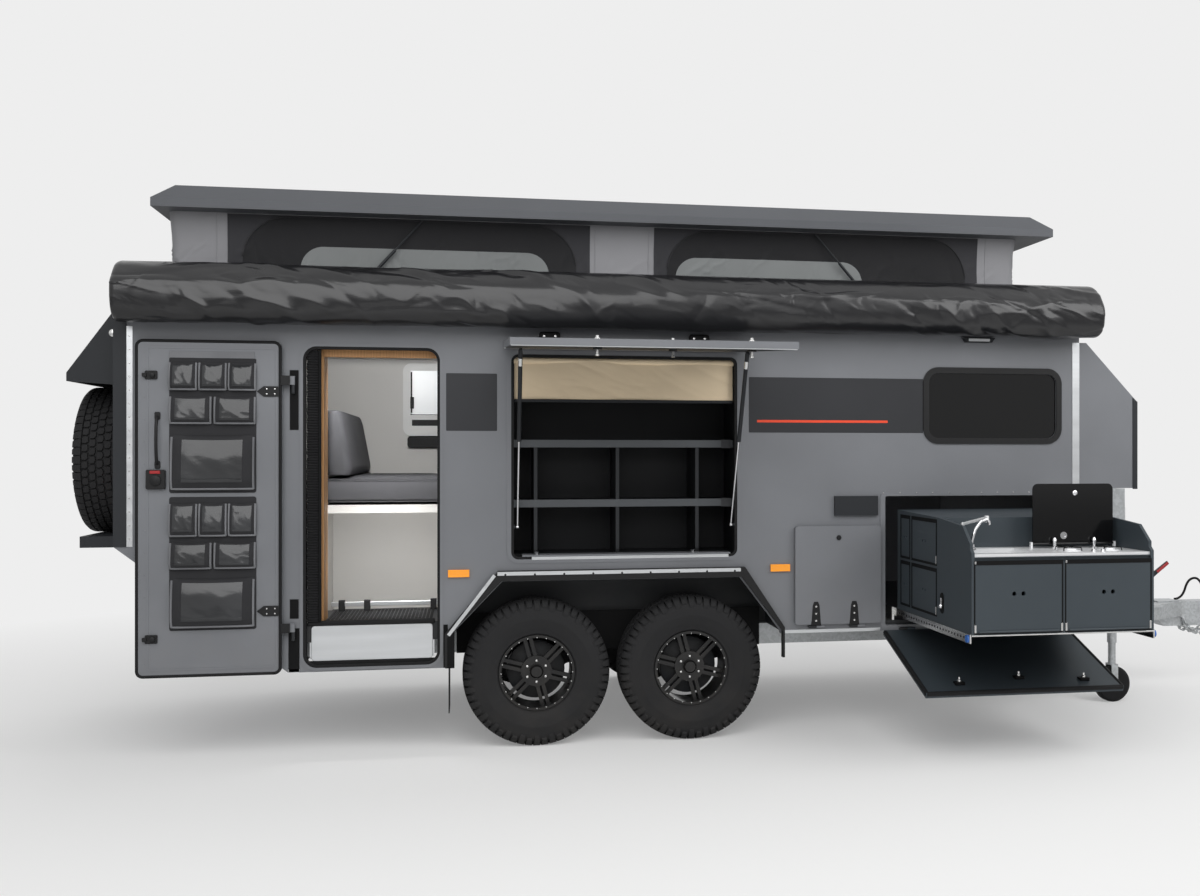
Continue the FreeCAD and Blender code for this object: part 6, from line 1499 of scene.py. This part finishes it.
@dataclass
class Kitchen:
    """The slide-out kitchen's trims, catches, tap and hob fittings, and the drop panel's rim."""

    rear: float = 1.618
    front: float = 2.589
    face: float = -2.200
    low: float = 0.702
    doors: tuple[Flat, ...] = ((1.636, 2.093), (2.114, 2.571))
    door_low: float = 0.718
    door_high: float = 1.052
    side_columns: tuple[Flat, ...] = ((-1.723, -1.347), (-1.313, -1.165))
    side_rows: tuple[Flat, ...] = ((0.748, 0.980), (1.014, 1.238))
    leaf_top: Flat = (-1.138, 0.592)
    leaf_run: Flat = (-0.9477, -0.3191)
    leaf_long: float = 0.724
    top: float = 1.104

    def carcass(self) -> None:
        """Make the painted shade in the gaps round the doors, the catches, the bright lower edge and the side latch.
        """
        # Painted shade: black rings round each door stand for the shade in the gaps.
        gaps = Shape()
        for x0, x1 in self.doors:
            inner = corners(x0 + 0.001, x1 - 0.001, self.door_low + 0.001, self.door_high - 0.001)
            outer = corners(x0 - 0.006, x1 + 0.006, self.door_low - 0.006, self.door_high + 0.020)
            gaps.surround(outer, inner, Plane.XZ, self.face - 0.0015, self.face + 0.0005)
        for y0, y1 in self.side_columns:
            for z0, z1 in self.side_rows:
                inner = corners(y0 + 0.006, y1 - 0.006, z0 + 0.006, z1 - 0.006)
                outer = corners(y0 - 0.007, y1 + 0.007, z0 - 0.007, z1 + 0.014)
                gaps.surround(outer, inner, Plane.YZ, self.rear - 0.0015, self.rear + 0.0005)
        gaps.cast("kitchen_door_gaps", "kitchen", BLACKED)
        catches = Shape()
        for x0, x1 in self.doors:
            for x in (x0 - 0.004, x1 - 0.006):
                catches.slab((x, self.face - 0.004, self.door_low + 0.002),
                             (x + 0.010, self.face - 0.001, self.door_low + 0.040), 0.001)
            catches.slab((x0 - 0.003, self.face - 0.0035, self.door_high + 0.004),
                         (x0 + 0.006, self.face - 0.001, self.door_high + 0.017), 0.001)
        for z0, _ in self.side_rows:
            catches.slab((self.rear - 0.004, -1.726, z0 + 0.004), (self.rear - 0.001, -1.714, z0 + 0.045), 0.001)
        catches.slab((self.rear, self.face - 0.0022, self.low), (self.front, self.face, self.low + 0.007), 0.0006)
        catches.cast("kitchen_catches", "kitchen", STEEL)
        oval = Shape().plate(rounded(-1.832, -1.780, 0.768, 0.876, 0.025), Plane.YZ, self.rear - 0.003,
                             self.rear + 0.0005, 0.001)
        oval.cast("kitchen_side_latch", "kitchen", BLACKED)
        knob = Shape().lathe([(0.012, 0.0), (0.014, 0.006), (0.010, 0.014), (0.0, 0.016)],
                             (self.rear - 0.003, -1.806, 0.806), 0, -1.0, 16)
        knob.slab((self.rear - 0.010, -1.813, 0.806), (self.rear - 0.003, -1.799, 0.850), 0.002)
        knob.cast("kitchen_side_knob", "kitchen", CHROME)

    def runners(self) -> None:
        """Make the runners' blue rollers, and black discs of painted shade where their row of holes is."""
        low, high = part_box("kitchen_runners")
        rollers = np.array([(x, low.y + 0.020, 0.690) for x in (low.x - 0.010, high.x + 0.001)])
        wheel = [(0.006, 0.0), (0.019, 0.0), (0.019, 0.009), (0.006, 0.009)]
        Shape().lathe(wheel, rollers, 0, 1.0, 20).cast("kitchen_rollers", "kitchen", ROLLER)
        # Painted shade: flat black discs stand for the dark inside of the holes.
        holes = spots(low.x - 0.0004, np.linspace(-2.120, -1.160, 25), 0.690)
        Shape().bolts(holes, 0, -1.0, 0.0065, 0.001, 8).cast("kitchen_runner_holes", "kitchen", BLACKED)

    def worktop(self) -> None:
        """Make the swan-neck tap, the lid's posts and knob, the pan rests and the hob's knobs."""
        foot = np.array([1.728, -1.930, self.top])
        bend = np.array([(0.0, 0.0), (0.002, 0.050), (0.020, 0.105), (0.050, 0.145), (0.082, 0.158), (0.094, 0.145),
                         (0.096, 0.128)])
        path = foot + spots(bend[:, 0], 0.0, bend[:, 1])
        chrome = Shape().tube(path, 0.0085, (0.0, 1.0, 0.0), 12)
        chrome.lathe([(0.024, 0.0), (0.024, 0.006), (0.017, 0.012), (0.017, 0.030), (0.0, 0.032)], foot, 2, 1.0, 20)
        chrome.tube(np.array([foot + (0, 0, 0.03), foot + (-0.02, 0, 0.05), foot + (-0.05, 0, 0.056)]), 0.004,
                    (0.0, 1.0, 0.0), 8)
        for x in (2.196, 2.418):
            chrome.lathe([(0.017, 0.0), (0.017, 0.006), (0.009, 0.014), (0.009, 0.036), (0.012, 0.044),
                          (0.006, 0.056),
                          (0.0, 0.056)], (x, -1.905, self.top), 2, 1.0, 18)
        for x in (2.300, 2.350):
            chrome.lathe([(0.013, 0.0), (0.011, 0.012), (0.0, 0.013)], (x, -2.130, self.top), 2, 1.0, 16)
        chrome.cast("worktop_chrome", "kitchen", CHROME)
        rests = Shape()
        for x in (2.201, 2.420):
            hub = np.array([x, -2.050, self.top + 0.018])
            for angle in turns(4) + math.pi / 4:
                way = np.array([math.cos(angle), math.sin(angle), 0.0])
                arm = np.stack([hub + way * 0.012, hub + way * 0.066, hub + way * 0.070 - (0, 0, 0.016)])
                rests.tube(arm, 0.003, (0.0, 0.0, 1.0), 6)
        rests.cast("pan_rests", "kitchen", BLACKED)
        lid = Shape().lathe([(0.013, 0.0), (0.013, 0.006), (0.006, 0.010), (0.0, 0.010)], (2.318, -1.885, 1.392), 1,
                            -1.0, 18)
        lid.lathe([(0.012, 0.0), (0.019, 0.0), (0.019, 0.004), (0.012, 0.004), (0.012, 0.0)], (2.255, -1.885, 1.170),
                  1, -1.0, 20)
        lid.cast("lid_fittings", "lid", CHROME)

    def on_leaf(self, out: float, proud: float) -> Flat:
        """Return (y, z) on the drop panel, at a distance from its hinge and above its face."""
        return (self.leaf_top[0] + out * self.leaf_run[0] + proud * self.leaf_run[1],
                self.leaf_top[1] + out * self.leaf_run[1] - proud * self.leaf_run[0])

    def drop_panel(self) -> None:
        """Make the panel's black rubber rim and its three latches."""
        low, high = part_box("drop_panel")
        x0, x1 = low.x + 0.006, high.x - 0.006
        out0, out1 = 0.010, self.leaf_long - 0.004
        turning = [(x, *self.on_leaf(out, -0.008)) for x, out in ((x0, out0), (x0, out1), (x1, out1), (x1, out0))]
        rim = Shape()
        for start, end in zip(turning[:-1], turning[1:]):
            rim.tube(np.linspace(start, end, 4), 0.0125, (0.0, 0.3, 1.0), 8)
        rim.cast("drop_panel_rim", "drop_flap", RUBBER)
        bodies, pins = Shape(), Shape()
        for x, out in ((1.735, 0.640), (2.085, 0.600), (2.440, 0.640)):
            centre = np.array([x, *self.on_leaf(out, 0.0)])
            bodies.slab(tuple(centre - (0.026, 0.022, 0.004)), tuple(centre + (0.026, 0.022, 0.012)), 0.003)
            pins.lathe([(0.010, 0.0), (0.010, 0.010), (0.006, 0.014), (0.006, 0.026), (0.0, 0.028)],
                       centre + (0, 0, 0.010), 2, 1.0, 14)
        bodies.cast("drop_panel_latch_bodies", "drop_flap", BLACKED)
        pins.cast("drop_panel_latch_pins", "drop_flap", STEEL)

    def build(self) -> None:
        """Make all the kitchen's fittings."""
        self.carcass()
        self.runners()
        self.worktop()
        self.drop_panel()


@dataclass
class Ends:
    """Fittings at both ends: bottle valves and straps, brake grip, the spares' nuts and caps, hood catches."""

    bottle_x: float = 3.440
    bottle_half: float = 0.185
    bottle_radius: float = 0.155
    strap_heights: Flat = (0.780, 0.980)
    spare: Point = (-2.830, 0.480, 1.564)

    def drawbar(self) -> None:
        """Make the gas bottles' valves and straps and the red grip of the brake lever."""
        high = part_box("gas_bottles")[1]
        valves = Shape()
        for side in (RIGHT, LEFT):
            top = np.array([self.bottle_x, side * self.bottle_half, high.z - 0.065])
            valves.lathe([(0.016, 0.0), (0.016, 0.020), (0.010, 0.024), (0.010, 0.038), (0.022, 0.040),
                          (0.022, 0.052),
                          (0.0, 0.054)], top, 2, 1.0, 18)
        valves.cast("bottle_valves", "trailer", BRASS)
        strap = Shape()
        r = self.bottle_radius + 0.002
        for z in self.strap_heights:
            for side in (RIGHT, LEFT):
                turn = np.linspace(0, 2 * math.pi, 41)
                ring = spots(self.bottle_x + r * np.cos(turn), side * self.bottle_half + r * np.sin(turn), z)
                strap.sheet(np.stack([ring + (0, 0, -0.012), ring + (0, 0, 0.012)]))
        strap.cast("bottle_straps", "trailer", STEEL, closed=False)
        grip = np.array([(3.880, 0.0, 0.777), (3.905, 0.0, 0.797), (3.940, 0.0, 0.823), (3.962, 0.0, 0.840)])
        Shape().tube(grip, 0.0125, (0.0, 1.0, 0.0), 14).cast("brake_lever_grip", "trailer", GRIP)

    def rear_end(self) -> None:
        """Make the spares' rim bolts, nuts and hub caps, and the rear hood's catches."""
        x, half, z = self.spare
        nuts, caps = Shape(), Shape()
        for side in (RIGHT, LEFT):
            for radius, count, size, inward in ((0.1935, 24, 0.0042, 0.0), (0.058, 6, 0.011, 0.035)):
                turn = turns(count)
                ring = spots(x + inward, side * half + radius * np.sin(turn), z + radius * np.cos(turn))
                nuts.bolts(ring, 0, -1.0, size, size, 6)
            caps.lathe([(0.040, -0.010), (0.040, 0.012), (0.030, 0.020), (0.0, 0.022)], (x + 0.050, side * half, z),
                       0, -1.0, 24)
        nuts.cast("spare_wheel_nuts", "trailer", STEEL)
        caps.cast("spare_hub_caps", "trailer", RIM)
        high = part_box("rear_hood")[1]
        catch = Shape()
        for side in (RIGHT, LEFT):
            y = side * (high.y + 0.002)
            catch.lathe([(0.020, -0.002), (0.020, 0.008), (0.012, 0.012), (0.0, 0.012)],
                        (high.x - 0.050, y, high.z - 0.110), 1, side, 16)
        catch.cast("hood_catches", "trailer", STEEL)

    def build(self) -> None:
        """Make both ends' fittings."""
        self.drawbar()
        self.rear_end()


@dataclass
class Cushions:
    """The seat and its back rest, crowned, with piped seams."""

    thick: float = 0.165

    def pad(self, name: str, low: Array, high: Array, axis: int, taper: float = 0.0) -> bpy.types.Object:
        """Make a cushion: a rounded box whose faces crown between pulled-in seams.

        Each point lies on a rounded rectangle carried along the cushion, with its
        ends pulled in, and both broad faces bow out by a product of two arcs.
        """
        size = high - low
        a, b = (i for i in range(3) if i != axis)
        u = np.linspace(0, 1, 60)
        ease = np.clip(np.minimum(u, 1 - u) / 0.05, 0, 1)
        end = np.sqrt(np.maximum(1 - (1 - ease) ** 2, 0.0)) * 0.5 + 0.5
        outline = rounded(-0.5, 0.5, -0.5, 0.5, 0.16, 9)
        rings = np.zeros((len(u), len(outline), 3))
        lean = 1.0 - taper * (outline[:, 1] + 0.5)[None]
        crown = (1 - (2 * u[:, None] - 1) ** 6) * (1 - (2 * outline[None, :, 1]) ** 4)
        rings[..., a] = low[a] + size[a] * (0.012 + 0.976 * u[:, None])
        rings[..., b] = low[b] + size[b] * (0.5 + outline[None, :, 1] * (0.94 + 0.06 * end[:, None]) * 0.985)
        swell = outline[None, :, 0] * (0.86 * end[:, None] * lean + 0.12 * crown)
        shift = 0.0 if taper == 0.0 else -0.5 * taper * (outline[:, 1] + 0.5)[None] * 0.86
        rings[..., axis] = low[axis] + size[axis] * (0.5 + swell + shift)
        rings[..., axis] += 0.0025 * folds(rings[..., a] * 5, rings[..., b] * 5, 61, 0.4, 2)
        made = Shape().loft(rings).cast(name, "trailer", HIDE, smooth=75)
        return made

    def build(self) -> None:
        """Make the seat and the back rest in the place of the CAD cushions."""
        low, high = (np.array(v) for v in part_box("seat_cushions"))
        seat_top = low[2] + self.thick
        seat = self.pad("seat_cushion", low, np.array([high[0], high[1], seat_top]), 2)
        self.pad("seat_back", np.array([low[0], low[1], seat_top]), np.array([low[0] + 0.185, high[1], high[2]]), 0,
                 0.45)
        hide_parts("seat_cushions")
        piping = Shape()
        for z in (low[2] + 0.018, seat_top - 0.018):
            line = rounded(low[0] + 0.012, high[0] - 0.006, low[1] + 0.010, high[1] - 0.010, 0.03)
            closed = np.concatenate([line, line[:1]])
            piping.tube(Plane.XY.place(closed, z), 0.003, (0.0, 0.0, 1.0), 6)
        piping.cast("seat_piping", "trailer", HIDE)


@dataclass
class TowCable:
    """The electric lead that loops over the drawbar to its plug."""

    low: float = 0.5843
    radius: float = 0.008
    route: tuple[Flat, ...] = ((4.030, 0.030), (4.090, 0.030), (4.130, 0.020), (4.210, -0.020), (4.236, -0.030))
    peak: float = 0.730
    length: float = 0.42

    def build(self) -> None:
        """Make the lead: one smooth NURBS line through the route's control points."""
        curve = bpy.data.curves.new("tow_lead", "CURVE")
        curve.dimensions = "3D"
        curve.bevel_depth = self.radius
        curve.bevel_resolution = 4
        curve.use_fill_caps = True
        spline = curve.splines.new("NURBS")
        heights = (self.low, self.low, self.peak, self.peak, self.low)
        points = [(x, y, z, 1.0) for (x, y), z in zip(self.route, heights)]
        spline.points.add(len(points) - 1)
        for point, place in zip(spline.points, points):
            point.co = place
        spline.order_u = 3
        spline.use_endpoint_u = True
        spline.resolution_u = 24
        curve.materials.append(RUBBER.material())
        lead = put("tow_lead", curve)
        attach(lead, "trailer")
        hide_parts("tow_cable")


def main() -> None:
    """Build every sub-assembly in order."""
    logging.basicConfig(level=logging.INFO, format="%(name)s %(message)s")
    dress_cad_nodes()
    for part in (Studio(), TowCable(), Tyres(), RimFittings(), AwningBag(), PopTop(), DoorDressing(), SideFittings(),
                 HatchDressing(), Cushions(), Cabin(), Kitchen(), Ends()):
        part.build()
        LOG.info("%s is built", type(part).__name__)


if __name__ == "__main__":
    main()
